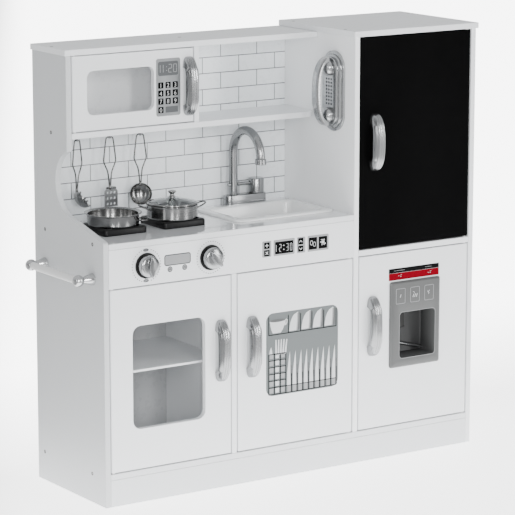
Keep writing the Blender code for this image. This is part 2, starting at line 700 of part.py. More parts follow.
def utensils():
    hook_rail()
    server_middle = (UTENSIL_XS["pasta_server"] + 0.0098, HANG_Y - 0.003, HANG_Z - 0.1225)
    server_bowl = bowl_head(server_middle, 0.0215, 0.016, (0.75, -0.2, 0.55))
    utensil("pasta_server", 0.0140, 20, server_bowl, lean=-0.0024)
    utensil("slotted_turner", 0.0140, 0, turner_head())
    ladle_middle = (UTENSIL_XS["ladle"] - 0.0005, HANG_Y - 0.003, HANG_Z - 0.1260)
    utensil("ladle", 0.0142, 0, bowl_head(ladle_middle, 0.0231, 0.016, (-0.5, -0.85, 0.1)))


# ---- tap ------------------------------------------------------------------------------------

TAP_Y = 0.239
SPOUT_X = 0.460
TAP_KNOB_X = 0.5186
TAP_BLOCK_HEIGHT = 0.0215
TAP_BLOCK_RADIUS = 0.0135
TAP_BLOCK_ENDS = (0.450, 0.5277)
PIPE_RADIUS = 0.0095
BEND_Z = 0.6495
BEND_RADIUS = 0.0525
NOZZLE_BOTTOM = 0.6370
TAP_KNOB_RADIUS = 0.0165
TAP_KNOB_HEIGHT = 0.032
ROD_RADIUS = 0.0042
ROD_RISE = 0.022


def tap_spout(foot):
    """An arched pipe that stands on the block and ends in a flared nozzle over the bowl."""
    curve = arc((TAP_Y - BEND_RADIUS, BEND_Z), BEND_RADIUS, 0, 180, 14)
    path = [(SPOUT_X, TAP_Y, foot)] + [(SPOUT_X, y, z) for y, z in curve]
    spout_y = TAP_Y - 2 * BEND_RADIUS
    nozzle = [(SPOUT_X, spout_y, BEND_Z - 0.0002), (SPOUT_X, spout_y, BEND_Z - 0.0008),
              (SPOUT_X, spout_y, NOZZLE_BOTTOM)]
    radii = [PIPE_RADIUS] * len(path) + [PIPE_RADIUS, 0.0118, 0.0125]
    bm = bmesh.new()
    sweep(bm, path + nozzle, radii, 14)
    make("tap_spout", bm, SILVER, pivot=(SPOUT_X, TAP_Y, foot), smooth=40)


def tap_knob(foot):
    """A drum with a rod that points to the pipe."""
    edge = 0.001
    profile = [(0, 0), (TAP_KNOB_RADIUS, 0), (TAP_KNOB_RADIUS, TAP_KNOB_HEIGHT - edge),
               (TAP_KNOB_RADIUS - edge, TAP_KNOB_HEIGHT), (0, TAP_KNOB_HEIGHT)]
    bm = bmesh.new()
    lathe(bm, profile, 24, Matrix.Translation((TAP_KNOB_X, TAP_Y, foot)))
    piece = make("tap_knob", bm, SILVER, pivot=(TAP_KNOB_X, TAP_Y, foot), smooth=40)
    rod = bmesh.new()
    rod_z = foot + ROD_RISE
    ends = (SPOUT_X + PIPE_RADIUS + 0.0008, TAP_KNOB_X - TAP_KNOB_RADIUS + 0.003)
    sweep(rod, [(x, TAP_Y, rod_z) for x in ends], ROD_RADIUS, 10)
    combine(piece, "UNION", rod)


def tap():
    base = COUNTER_TOP + SLIP
    top = base + TAP_BLOCK_HEIGHT
    left, right = TAP_BLOCK_ENDS
    right_end = arc((right, TAP_Y), TAP_BLOCK_RADIUS, -90, 90, 8)
    left_end = arc((left, TAP_Y), TAP_BLOCK_RADIUS, 90, 270, 8)
    outline = right_end + left_end
    bm = bmesh.new()
    prism(bm, outline, "Z", base, top)
    make("tap_base", bm, SILVER, smooth=40)
    tap_spout(top + SLIP)
    tap_knob(top + SLIP)


# ---- toy phone on the tall unit's side ------------------------------------------------------

PHONE_Y = 0.0725
PHONE_Z = 0.7885
PHONE_STEP = 0.005
PHONE_INSET = 0.0062
PHONE_WALL = TALL_X - SLIP
PHONE_SEAT = PHONE_WALL - 3 * PHONE_STEP - SLIP
CUP_RADIUS = 0.0165
CUP_DEPTH = 0.015
CUP_OFFSET = 0.0495
GRIP_HALF = 0.0720
GRIP_END = 0.006
GRIP_OUT = 0.0317
GRIP_THICK = 0.0105
GRIP_WIDTH = 0.020


def phone_base():
    """Three stepped oblong plates, each smaller than the one below."""
    half_height, half_width = 0.0845, 0.0375
    rings = []
    for level, insets in ((0, 0), (1, 0), (1, 1), (2, 1), (2, 2), (3, 2)):
        outline = stadium(half_height - half_width, half_width - insets * PHONE_INSET, 10)
        x = PHONE_WALL - level * PHONE_STEP
        rings.append([Vector((x, PHONE_Y + y, PHONE_Z + z)) for y, z in outline])
    bm = bmesh.new()
    loft(bm, rings)
    make("phone_base", bm, SILVER, smooth=35)


def phone_handset():
    """A bowed grip between two domed cups that rest on the base."""
    outer = arch(GRIP_HALF, GRIP_OUT, 0.83, 14)
    inner = arch(GRIP_HALF - GRIP_THICK, GRIP_OUT - GRIP_THICK, 0.83, 14)
    outline = [(PHONE_SEAT - GRIP_END - off, PHONE_Z + up) for off, up in outer + inner[::-1]]
    sides = (PHONE_Y - GRIP_WIDTH / 2, PHONE_Y + GRIP_WIDTH / 2)
    bm = bmesh.new()
    loft(bm, [[Vector((x, y, z)) for x, z in outline] for y in sides])
    handset = make("phone_handset", bm, SILVER, pivot=(PHONE_SEAT, PHONE_Y, PHONE_Z), smooth=40)
    dome = [(0, 0), (CUP_RADIUS, 0), (CUP_RADIUS, CUP_DEPTH * 0.4), (CUP_RADIUS * 0.85, CUP_DEPTH * 0.7),
            (CUP_RADIUS * 0.5, CUP_DEPTH * 0.92), (0, CUP_DEPTH)]
    for z in (PHONE_Z - CUP_OFFSET, PHONE_Z + CUP_OFFSET):
        placed = Matrix.Translation((PHONE_SEAT, PHONE_Y, z)) @ Matrix.Rotation(math.radians(-90), 4, "Y")
        cap = bmesh.new()
        lathe(cap, dome, 18, placed)
        combine(handset, "UNION", cap)


# ---- towel rail on the left side ------------------------------------------------------------

TOWEL_Z = 0.4615
TOWEL_YS = {"front": 0.042, "rear": 0.234}
TOWEL_BAR_RADIUS = 0.0080
TOWEL_BALL_RADIUS = 0.012
TOWEL_FOOT_RADIUS = 0.0125
SOCKET_DEPTH = 0.004


def towel_rail():
    ball_x = RAIL_REACH - TOWEL_BALL_RADIUS
    neck = 0.0072
    for side, y in TOWEL_YS.items():
        ball = [(TOWEL_BALL_RADIUS * math.sin(a), ball_x - TOWEL_BALL_RADIUS * math.cos(a))
                for a in [math.radians(30 + 25 * k) for k in range(7)]]
        foot = [(0, SLIP), (TOWEL_FOOT_RADIUS, SLIP), (TOWEL_FOOT_RADIUS, 0.0012), (neck, 0.0205)]
        placed = Matrix.Translation((0, y, TOWEL_Z)) @ Matrix.Rotation(math.radians(-90), 4, "Y")
        bm = bmesh.new()
        lathe(bm, foot + ball, 16, placed)
        post = make("towel_post_" + side, bm, CHROME, smooth=40)
        inward = 1 if side == "front" else -1
        mouth = y + inward * (TOWEL_BALL_RADIUS + 0.01)
        floor = y + inward * (TOWEL_BALL_RADIUS - SOCKET_DEPTH)
        socket = bmesh.new()
        sweep(socket, [(-ball_x, floor, TOWEL_Z), (-ball_x, mouth, TOWEL_Z)], TOWEL_BAR_RADIUS + 0.0004, 20)
        combine(post, "DIFFERENCE", socket)
    bm = bmesh.new()
    reach = TOWEL_BALL_RADIUS - SOCKET_DEPTH + SLIP
    ends = (TOWEL_YS["front"] + reach, TOWEL_YS["rear"] - reach)
    sweep(bm, [(-ball_x, y, TOWEL_Z) for y in ends], TOWEL_BAR_RADIUS, 20)
    make("towel_bar", bm, PALE, smooth=40)


cabinets()
countertop()
sink_basin()
doors()
dispenser()
control_fascia()
knob("left", KNOB_XS["left"], 0)
knob("right", KNOB_XS["right"], -40)
hob()
utensils()
tap()
phone_base()
phone_handset()
towel_rail()
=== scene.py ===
import json
import math

import bmesh
import bpy
from mathutils import Matrix, Vector


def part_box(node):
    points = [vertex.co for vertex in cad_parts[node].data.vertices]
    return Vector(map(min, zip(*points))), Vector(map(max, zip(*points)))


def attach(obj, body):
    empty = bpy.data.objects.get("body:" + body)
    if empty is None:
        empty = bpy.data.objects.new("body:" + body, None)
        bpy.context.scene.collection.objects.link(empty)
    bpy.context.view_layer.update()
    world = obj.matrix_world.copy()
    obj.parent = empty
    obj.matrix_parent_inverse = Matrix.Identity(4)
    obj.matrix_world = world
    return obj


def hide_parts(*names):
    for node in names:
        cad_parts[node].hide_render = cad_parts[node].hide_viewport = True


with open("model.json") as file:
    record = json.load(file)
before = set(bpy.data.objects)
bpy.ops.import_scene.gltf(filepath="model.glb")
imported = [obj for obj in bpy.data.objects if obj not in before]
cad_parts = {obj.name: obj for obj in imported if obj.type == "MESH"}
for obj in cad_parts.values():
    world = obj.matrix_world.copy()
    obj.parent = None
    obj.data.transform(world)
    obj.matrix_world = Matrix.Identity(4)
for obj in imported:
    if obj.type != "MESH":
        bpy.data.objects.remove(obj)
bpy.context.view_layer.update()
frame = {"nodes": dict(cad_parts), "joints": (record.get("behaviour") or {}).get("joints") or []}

NODES = frame["nodes"]
SCENE = bpy.context.scene

# The cabinet's left front corner on the floor; every distance below is measured from it
CORNER = Vector((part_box("left_side_panel")[0].x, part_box("control_fascia")[0].y, 0))


def at(x, y, z):
    return CORNER + Vector((x, y, z))


# ---- camera, light and floor ----------------------------------------------------------------

CAMERA_PLACE = (-2.563, -4.399, 1.524)
CAMERA_DOWN, CAMERA_TURN = 11.26, -33.63
LENS = 184.77
SENSOR = 36
LIGHTS = (("key", (2.4, -3.6, 1.4), (0.9, 2.6), 55), ("fill_left", (-2.75, -4.2, 1.6), (0.5, 1.8), 90),
    ("fill_center", (-0.9, -4.9, 1.8), (0.5, 1.8), 70), ("left_strip", (-3.2, -1.2, 1.2), (0.35, 1.8), 10))
LIT_POINT = Vector((0, 0, 0.45))
FLOOR_HALF = 40


def camera():
    eye = bpy.data.cameras.new("camera")
    eye.lens = LENS
    eye.sensor_width = SENSOR
    eye.clip_end = 200
    rig = bpy.data.objects.new("camera", eye)
    rig.location = at(*CAMERA_PLACE)
    rig.rotation_euler = (math.radians(90 - CAMERA_DOWN), 0, math.radians(CAMERA_TURN))
    SCENE.collection.objects.link(rig)
    SCENE.camera = rig


def area_light(name, place, size, power):
    lamp = bpy.data.lights.new(name, "AREA")
    lamp.shape = "RECTANGLE"
    lamp.size, lamp.size_y = size
    lamp.energy = power
    rig = bpy.data.objects.new(name, lamp)
    rig.location = place
    rig.rotation_euler = (LIT_POINT - Vector(place)).to_track_quat("-Z", "Y").to_euler()
    SCENE.collection.objects.link(rig)


def add_node(tree, kind, inputs=None, **settings):
    """Add a shader node; each input is a value or the socket that feeds it."""
    node = tree.nodes.new(kind)
    for key, value in settings.items():
        setattr(node, key, value)
    for key, value in (inputs or {}).items():
        if isinstance(value, bpy.types.NodeSocket):
            tree.links.new(value, node.inputs[key])
        else:
            node.inputs[key].default_value = value
    return node


# The brightness all round the room, as shares of a turn; each metal part mirrors its own stretch of it
BANDS = ((0.00, 1.0), (0.17, 0.8), (0.24, 0.22), (0.30, 0.34), (0.36, 0.14), (0.385, 0.14), (0.392, 1.7),
    (0.412, 1.7), (0.420, 0.14), (0.452, 0.14), (0.460, 1.7), (0.482, 1.7), (0.490, 0.15), (0.55, 0.2),
    (0.585, 1.2), (0.63, 1.2), (0.66, 0.2), (0.75, 0.3), (0.85, 0.8), (1.00, 1.0))


def softbox_bands(tree, place):
    """Upright bright and dark bands by compass direction; the front is at the middle of the row."""
    split = add_node(tree, "ShaderNodeSeparateXYZ", {"Vector": place})
    forward = add_node(tree, "ShaderNodeMath", {0: split.outputs["Y"], 1: -1}, operation="MULTIPLY")
    bearing = add_node(tree, "ShaderNodeMath", {0: split.outputs["X"], 1: forward.outputs[0]},
        operation="ARCTAN2")
    turn = add_node(tree, "ShaderNodeMapRange", {"Value": bearing.outputs[0], "From Min": -math.pi,
        "From Max": math.pi})
    curve = add_node(tree, "ShaderNodeFloatCurve", {"Value": turn.outputs["Result"]})
    points = curve.mapping.curves[0].points
    top = max(level for _, level in BANDS)
    points[0].location = (BANDS[0][0], BANDS[0][1] / top)
    points[1].location = (BANDS[-1][0], BANDS[-1][1] / top)
    for spot, level in BANDS[1:-1]:
        points.new(spot, level / top)
    for point in points:
        point.handle_type = "VECTOR"
    curve.mapping.update()
    return add_node(tree, "ShaderNodeMath", {0: curve.outputs["Value"], 1: top},
        operation="MULTIPLY").outputs[0]


def surroundings():
    """A studio: bright overhead, with softboxes and dark gaps round it for the metal to show."""
    world = bpy.data.worlds.new("studio")
    world.use_nodes = True
    tree = world.node_tree
    place = add_node(tree, "ShaderNodeTexCoord").outputs["Generated"]
    split = add_node(tree, "ShaderNodeSeparateXYZ", {"Vector": place})
    rise = add_node(tree, "ShaderNodeMapRange", {"Value": split.outputs["Z"], "From Min": 0.25,
        "From Max": 0.75})
    blend = add_node(tree, "ShaderNodeMix", {"Factor": rise.outputs["Result"],
        "A": softbox_bands(tree, place), "B": 1.0})
    background = tree.nodes["Background"]
    tree.links.new(blend.outputs["Result"], background.inputs["Strength"])
    background.inputs["Color"].default_value = (0.98, 0.99, 1.0, 1)
    SCENE.world = world
    for light in LIGHTS:
        area_light(*light)


def floor():
    ground = bmesh.new()
    corners = ((-1, -1), (1, -1), (1, 1), (-1, 1))
    ground.faces.new([ground.verts.new((x * FLOOR_HALF, y * FLOOR_HALF, 0)) for x, y in corners])
    mesh = bpy.data.meshes.new("floor")
    ground.to_mesh(mesh)
    made = bpy.data.objects.new("floor", mesh)
    SCENE.collection.objects.link(made)
    made.data.materials.append(MATERIALS["floor"])


# ---- materials ------------------------------------------------------------------------------

class Finish:
    """A node material with a Principled shader and the few texture nodes that vary it."""

    def __init__(self, name, color, roughness, metallic=0.0, specular=0.5, coat=0.0, coat_roughness=0.1):
        self.material = bpy.data.materials.new(name)
        self.material.use_nodes = True
        self.material.diffuse_color = (*color, 1)
        self.tree = self.material.node_tree
        self.shader = self.tree.nodes["Principled BSDF"]
        self.color = color
        looks = {"Base Color": (*color, 1), "Roughness": roughness, "Metallic": metallic,
            "Specular IOR Level": specular, "Coat Weight": coat, "Coat Roughness": coat_roughness}
        for key, value in looks.items():
            self.shader.inputs[key].default_value = value
        self.place = self.tree.nodes.new("ShaderNodeTexCoord").outputs["Object"]

    def add(self, kind, inputs=None, **settings):
        return add_node(self.tree, kind, inputs, **settings)

    def axes(self):
        split = self.add("ShaderNodeSeparateXYZ", {"Vector": self.place})
        return [split.outputs[axis] for axis in "XYZ"]

    def math(self, operation, first, second):
        return self.add("ShaderNodeMath", {0: first, 1: second}, operation=operation).outputs[0]

    def noise(self, scale, detail=3.0, stretch=None):
        vector = self.place
        if stretch:
            vector = self.add("ShaderNodeMapping", {"Vector": vector, "Scale": stretch}).outputs["Vector"]
        return self.add("ShaderNodeTexNoise", {"Vector": vector, "Scale": scale,
            "Detail": detail}).outputs["Fac"]

    def ramp(self, value, start, end, low=0.0, high=1.0, **settings):
        ends = {"From Min": start, "From Max": end, "To Min": low, "To Max": high}
        return self.add("ShaderNodeMapRange", {"Value": value, **ends}, **settings).outputs["Result"]

    def spread(self, value, low, high):
        """Noise, which stays near its middle, stretched over low to high."""
        return self.ramp(value, 0.3, 0.7, low, high)

    def shade(self, factor, amount):
        """Vary the base colour by a share of itself."""
        dark = tuple(c * (1 - amount) for c in self.color)
        light = tuple(min(1, c * (1 + amount)) for c in self.color)
        return self.mix(factor, dark, light)

    def mix(self, factor, first, second):
        node = self.add("ShaderNodeMix", data_type="RGBA")
        colors = [socket for socket in node.inputs if socket.type == "RGBA"]
        for socket, value in zip(colors, (first, second)):
            if isinstance(value, bpy.types.NodeSocket):
                self.tree.links.new(value, socket)
            else:
                socket.default_value = (*value, 1)
        self.tree.links.new(factor, node.inputs["Factor"])
        output = [socket for socket in node.outputs if socket.type == "RGBA"][0]
        self.tree.links.new(output, self.shader.inputs["Base Color"])
        return output

    def rough(self, value):
        self.tree.links.new(value, self.shader.inputs["Roughness"])

    def bump(self, height, strength, distance):
        node = self.add("ShaderNodeBump", {"Height": height, "Strength": strength, "Distance": distance})
        self.tree.links.new(node.outputs["Normal"], self.shader.inputs["Normal"])


def painted(name, color, roughness=0.42, coat=0.15, grain=1400.0, coat_roughness=0.22):
    """Rolled satin paint on fibreboard: faint orange peel, slight cloudiness and uneven sheen."""
    finish = Finish(name, color, roughness, coat=coat, coat_roughness=coat_roughness)
    finish.shade(finish.noise(9.0, 4.0), 0.018)
    finish.rough(finish.spread(finish.noise(60.0, 4.0), roughness - 0.05, roughness + 0.06))
    finish.bump(finish.noise(grain, 2.0), 0.10, 0.00005)
    return finish


def moulded(name, color, roughness, metallic=0.0, flake=0.05, bump=0.15, coat=0.0, specular=0.5,
        scale=1500.0):
    """Injection-moulded plastic, plain or metallic, with fine flake and flow marks."""
    finish = Finish(name, color, roughness, metallic, specular, coat, coat_roughness=0.12)
    finish.shade(finish.noise(scale, 2.0), flake)
    finish.rough(finish.spread(finish.noise(120.0, 3.0), roughness - 0.04, roughness + 0.05))
    finish.bump(finish.noise(260.0, 2.0), bump, 0.00001)
    return finish


def drawn_metal(name, color, roughness, stretch, scale=6.0, bump=0.05, spun=0.0):
    """Spun or drawn metal, with its fine lines along one direction; spun metal streaks round its axis."""
    finish = Finish(name, color, roughness, metallic=1.0)
    if spun:
        around = finish.add("ShaderNodeTangent", direction_type="RADIAL", axis="Z")
        finish.shader.inputs["Anisotropic"].default_value = spun
        finish.shader.inputs["Anisotropic Rotation"].default_value = 0.25
        finish.tree.links.new(around.outputs["Tangent"], finish.shader.inputs["Tangent"])
    lines = finish.noise(scale, 5.0, stretch)
    finish.shade(lines, 0.07)
    finish.rough(finish.spread(lines, roughness - 0.05, roughness + 0.07))
    finish.bump(lines, bump, 0.00001)
    return finish


def glowing_floor():
    """A pale sweep that glows behind the kitchen, and fades to plain grey in front and at the left."""
    finish = painted("floor", (0.90, 0.90, 0.90), 0.7, 0.0, 60.0)
    across = finish.add("ShaderNodeVectorMath", {0: finish.place, 1: (0.876, -0.482, 0)},
        operation="DOT_PRODUCT")
    depth = finish.axes()[1]
    sideways = finish.ramp(across.outputs["Value"], -0.80, -0.47, interpolation_type="SMOOTHSTEP")
    forward = finish.ramp(depth, -1.2, -0.65, interpolation_type="SMOOTHSTEP")
    lit = finish.math("MULTIPLY", sideways, forward)
    finish.mix(lit, (0.30, 0.30, 0.30), (0.90, 0.90, 0.90))
    glow = finish.add("ShaderNodeMix", {"Factor": lit, "A": softbox_bands(finish.tree, finish.place),
        "B": finish.ramp(depth, 0.2, 1.0, 3.2, 6.5)})
    finish.shader.inputs["Emission Color"].default_value = (1, 1, 1, 1)
    finish.tree.links.new(glow.outputs["Result"], finish.shader.inputs["Emission Strength"])
    return finish


def tile_print():
    """Running-bond tiles on the board's front above the counter, and on the rest of it paint with painted
    light and shade: a pale tone above the counter and on the back that lights the microwave's inside, and a
    dark tone on the front below the counter that shades the oven.
    """
    finish = Finish("tile_print", (0.80, 0.82, 0.84), 0.30, coat=0.25, coat_roughness=0.15)
    x, y, z = finish.axes()
    flat = finish.add("ShaderNodeCombineXYZ", {"X": x, "Y": z}).outputs["Vector"]
    moved = finish.add("ShaderNodeMapping", {"Vector": flat, "Location": TILE_START}).outputs["Vector"]
    bricks = finish.add("ShaderNodeTexBrick", {"Vector": moved, "Scale": 1.0, "Mortar Size": TILE_JOINT,
        "Mortar Smooth": 0.3, "Bias": -0.2, "Brick Width": TILE_WIDTH, "Row Height": TILE_HEIGHT,
        "Color1": (0.88, 0.91, 0.93, 1), "Color2": (0.85, 0.88, 0.90, 1),
        "Mortar": (0.07, 0.074, 0.078, 1)})
    above = finish.math("GREATER_THAN", z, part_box("countertop")[0].z)
    beside = finish.math("GREATER_THAN", x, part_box("microwave_divider")[0].x)
    below = finish.math("LESS_THAN", z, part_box("upper_shelf_board")[1].z)
    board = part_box("left_back_panel")
    mid_depth = (board[0].y + board[1].y) / 2
    front = finish.math("LESS_THAN", y, mid_depth)
    rear = finish.math("GREATER_THAN", y, mid_depth)
    open_front = finish.math("MULTIPLY", finish.math("MAXIMUM", beside, below), front)
    tiled = finish.math("MULTIPLY", above, open_front)
    # Painted light and shade: the pale tone brightens the untiled board above the counter and its back, and
    # the dark tone is painted shade on the front below the counter, in the oven
    plain = finish.mix(finish.math("MAXIMUM", above, rear), (0.52, 0.53, 0.54), (0.93, 0.94, 0.95))
    finish.mix(tiled, plain, bricks.outputs["Color"])
    groove = finish.math("MULTIPLY", bricks.outputs["Fac"], tiled)
    finish.bump(finish.math("SUBTRACT", 1.0, groove), 0.25, 0.0006)
    finish.rough(finish.spread(finish.noise(80.0), 0.24, 0.36))
    return finish


def dispenser_plastic_with_painted_shade():
    """Satin grey plastic, with painted shade making it darker towards the back of the recess."""
    finish = moulded("dispenser_plastic_with_painted_shade", (0.085, 0.087, 0.087), 0.42, metallic=0.2, flake=0.06)
    front, back = (corner.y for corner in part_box("dispenser_housing"))
    # Painted shade: the colour darkens from the recess's front to its back
    recess_shade = finish.ramp(finish.axes()[1], front + 0.004, back)
    flakes = finish.shade(finish.noise(1500.0, 2.0), 0.06)
    finish.mix(recess_shade, flakes, (0.022, 0.0225, 0.023))
    return finish


def blackboard_paint():
    """Matt black paint with a faint haze of wiped chalk."""
    finish = Finish("blackboard_paint", (0.0015, 0.0015, 0.0016), 0.6, specular=0.02)
    haze = finish.noise(5.0, 6.0, (1.0, 1.0, 0.5))
    finish.mix(finish.spread(haze, 0, 1), (0.0011, 0.0011, 0.0012), (0.0020, 0.0020, 0.0021))
    finish.rough(finish.spread(finish.noise(40.0, 5.0), 0.48, 0.62))
    finish.bump(finish.noise(3200.0, 2.0), 0.12, 0.0002)
    return finish


def clear_glass():
    """Slightly wavy clear plastic or glass."""
    finish = Finish("lid_glass", (0.62, 0.65, 0.65), 0.02)
    finish.shader.inputs["Transmission Weight"].default_value = 1.0
    finish.shader.inputs["IOR"].default_value = 1.46
    finish.rough(finish.spread(finish.noise(30.0, 3.0), 0.01, 0.04))
    finish.shade(finish.noise(12.0), 0.02)
    finish.bump(finish.noise(20.0, 2.0), 0.03, 0.0003)
    return finish


def print_ink(name, color, roughness=0.4, specular=0.2):
    """Screen-printed ink, slightly uneven."""
    finish = Finish(name, color, roughness, specular=specular)
    finish.shade(finish.noise(700.0, 3.0), 0.06)
    finish.rough(finish.spread(finish.noise(300.0), roughness - 0.05, roughness + 0.05))
    finish.bump(finish.noise(1800.0), 0.05, 0.0001)
    return finish


MM = 0.001


def mm(*points):
    return [tuple(value * MM for value in point) for point in points]


# The Y of the fascia's and the closed doors' front
FRONT = 0.0
# Where the utensils hang, and the dispenser recess's corners on the door
HANG_Y, HANG_Z = 0.236, 0.709
NICHE = ((0.7215, 0.2145), (0.8150, 0.3140))
PIVOTS = {joint["child"]: Vector(joint["pos_m"]) - CORNER for joint in frame["joints"] if "pos_m" in joint}
HOOKS = {name: PIVOTS[name].x for name in ("pasta_server", "slotted_turner", "ladle")}

TILE_WIDTH = 0.0912
TILE_HEIGHT = 0.0337
TILE_JOINT = 0.0010
TILE_START = (-at(0.1214, 0, 0).x, -0.6506, 0)

FINISHES = {
    "white": painted("white_board", (0.80, 0.815, 0.83)),
    # Painted shade: the left side panel gets a darker copy of the white paint, for the shade on that side
    "side": painted("painted_shade_side_board", (0.56, 0.575, 0.585)),
    # Painted shade: the bottom and kick boards get a darker copy of the white paint
    "painted_shade_lower": painted("painted_shade_lower_board", (0.68, 0.695, 0.71)),
    # Painted light: the tall unit's left panel gets a lighter copy of the white paint, for the light on its
    # face by the sink
    "painted_light_tall_side": painted("painted_light_tall_side_board", (0.88, 0.89, 0.90)),
    "counter": painted("counter_lacquer", (0.76, 0.775, 0.79), 0.08, 1.0, 900.0, 0.03),
    "tile": tile_print(),
    "blackboard": blackboard_paint(),
    "silver": moulded("silver_plastic", (0.31, 0.315, 0.32), 0.19, metallic=0.95, flake=0.01, bump=0.0),
    "phone": moulded("phone_plastic", (0.42, 0.425, 0.43), 0.17, metallic=0.95, flake=0.01, bump=0.0),
    "dispenser": dispenser_plastic_with_painted_shade(),
    "black": moulded("black_plastic", (0.005, 0.005, 0.005), 0.32, flake=0.2, specular=0.3),
    "pale": moulded("pale_plastic", (0.74, 0.745, 0.74), 0.35, flake=0.02),
    "basin": moulded("basin_plastic", (0.80, 0.81, 0.81), 0.16, flake=0.01, coat=0.5, scale=600.0),
    "chrome": moulded("chrome", (0.50, 0.505, 0.51), 0.12, metallic=1.0, flake=0.02, bump=0.04),
    "steel": drawn_metal("spun_steel", (0.27, 0.27, 0.268), 0.22, (1.0, 1.0, 60.0), spun=0.7),
    "wire": drawn_metal("steel_wire", (0.12, 0.12, 0.12), 0.20, (40.0, 40.0, 2.0)),
    "pressed": drawn_metal("pressed_steel", (0.36, 0.365, 0.37), 0.34, (60.0, 1.0, 1.0)),
    "glass": clear_glass(),
    "floor": glowing_floor(),
    "gloss_black": moulded("gloss_black_plastic", (0.0030, 0.0030, 0.0032), 0.34, flake=0.15, specular=0.2),
    "keypad": moulded("keypad_plastic", (0.23, 0.24, 0.245), 0.38, metallic=0.2, flake=0.05),
    "screw": moulded("zinc_screw", (0.08, 0.075, 0.07), 0.4, metallic=0.5, flake=0.08),
    "ink_mid_grey": print_ink("ink_mid_grey", (0.135, 0.148, 0.15)),
    "ink_black": print_ink("ink_black", (0.0015, 0.0015, 0.0017), specular=0.05),
    "ink_white": print_ink("ink_white", (0.60, 0.61, 0.62)),
    "ink_grey": print_ink("ink_grey", (0.10, 0.104, 0.106)),
    "ink_light_grey": print_ink("ink_light_grey", (0.29, 0.295, 0.30)),
    "ink_pale_grey": print_ink("ink_pale_grey", (0.27, 0.275, 0.28)),
    "ink_dark_grey": print_ink("ink_dark_grey", (0.085, 0.09, 0.094)),
    "ink_red": print_ink("ink_red", (0.17, 0.0004, 0.0070), specular=0.02),
}
MATERIALS = {key: finish.material for key, finish in FINISHES.items()}

# The CAD nodes that carry over, by finish
KEPT = {
    "side": ["left_side_panel"],
    "painted_light_tall_side": ["tall_left_panel"],
    "painted_shade_lower": ["bottom_board", "kick_board"],
    "white": ["middle_divider", "right_side_panel", "tall_back_panel", "fridge_floor_board", "upper_top_board",
              "microwave_divider", "oven_shelf", "upper_shelf_board", "control_fascia", "oven_door",
              "dishwasher_door", "dispenser_door", "microwave_door"],
    "counter": ["countertop"],
    "tile": ["left_back_panel"],
    "blackboard": ["fridge_door"],
    "pale": [name for name in NODES if name.endswith("_pin")],
}


def repaint_boards():
    """Give every CAD node that carries over its own finish."""
    for key, names in KEPT.items():
        for name in names:
            for slot in NODES[name].material_slots:
                slot.material = MATERIALS[key]


# ---- shapes in mesh code --------------------------------------------------------------------

def round_turns(sides):
    return [math.tau * k / sides for k in range(sides)]


def rotation(degrees, axis, size=4):
    return Matrix.Rotation(math.radians(degrees), size, axis)


def bridge(bm, first, second):
    """Join two rings with the same number of points."""
    for i in range(len(first)):
        j = (i + 1) % len(first)
        bm.faces.new((first[i], first[j], second[j], second[i]))


def loft(bm, rings, looped=False):
    """Skin a row of point rings; a looped row joins its last ring to its first, any other is capped."""
    made = [[bm.verts.new(point) for point in ring] for ring in rings]
    for first, second in zip(made, made[1:]):
        bridge(bm, first, second)
    if looped:
        bridge(bm, made[-1], made[0])
    else:
        bm.faces.new(made[0])
        bm.faces.new(made[-1])


def lathe(bm, profile, sides, placed=Matrix()):
    """Turn a (radius, height) profile about Z; it is closed by zero radii at its ends, or is a loop."""
    def ring(radius, height):
        return [placed @ Vector((radius * math.cos(a), radius * math.sin(a), height))
            for a in round_turns(sides)]

    if profile[0][0] > 0:
        loft(bm, [ring(*point) for point in profile], looped=True)
        return
    made = [[bm.verts.new(point) for point in ring(*pair)] for pair in profile[1:-1]]
    for first, second in zip(made, made[1:]):
        bridge(bm, first, second)
    for end, height in ((made[0], profile[0][1]), (made[-1], profile[-1][1])):
        pole = bm.verts.new(placed @ Vector((0, 0, height)))
        for i in range(sides):
            bm.faces.new((end[i], end[(i + 1) % sides], pole))


def sweep(bm, path, radius, sides=12, looped=False):
    """Run a round section along a path; radius is one number or one for each point."""
    points = [Vector(point) for point in path]
    count = len(points)
    radii = radius if isinstance(radius, list) else [radius] * count
    rings = []
    normal = None
    for i, point in enumerate(points):
        before = points[i - 1] if looped or i else point
        after = points[(i + 1) % count] if looped or i < count - 1 else point
        tangent = (after - before).normalized()
        normal = tangent.orthogonal() if normal is None else normal
        normal = (normal - tangent * normal.dot(tangent)).normalized()
        across = tangent.cross(normal)
        rings.append([point + (normal * math.cos(a) + across * math.sin(a)) * radii[i]
            for a in round_turns(sides)])
    loft(bm, rings, looped)


def spline(points, steps=6):
    """A smooth curve through the points."""
    vectors = [Vector(point) for point in points]
    ends = [vectors[0] * 2 - vectors[1]] + vectors + [vectors[-1] * 2 - vectors[-2]]
    curve = []
    for a, b, c, d in zip(ends, ends[1:], ends[2:], ends[3:]):
        for k in range(steps):
            t = k / steps
            curve.append(0.5 * (2 * b + (c - a) * t + (2 * a - 5 * b + 4 * c - d) * t * t
                + (3 * b - a - 3 * c + d) * t ** 3))
    return curve + [vectors[-1]]


def arc(center, radius, start, end, steps):
    turns = [math.radians(start + (end - start) * k / steps) for k in range(steps + 1)]
    return [(center[0] + radius * math.cos(a), center[1] + radius * math.sin(a)) for a in turns]


def ellipse(center, half_width, half_height, sides):
    x, z = center
    return [(x + half_width * math.cos(a), z + half_height * math.sin(a)) for a in round_turns(sides)]


def rounded_rectangle(low, high, radius, steps=5):
    corners = ((high[0], high[1], 0), (low[0], high[1], 90), (low[0], low[1], 180), (high[0], low[1], 270))
    outline = []
    for x, z, start in corners:
        inward_x = -radius if x == high[0] else radius
        inward_z = -radius if z == high[1] else radius
        outline += arc((x + inward_x, z + inward_z), radius, start, start + 90, steps)
    return outline


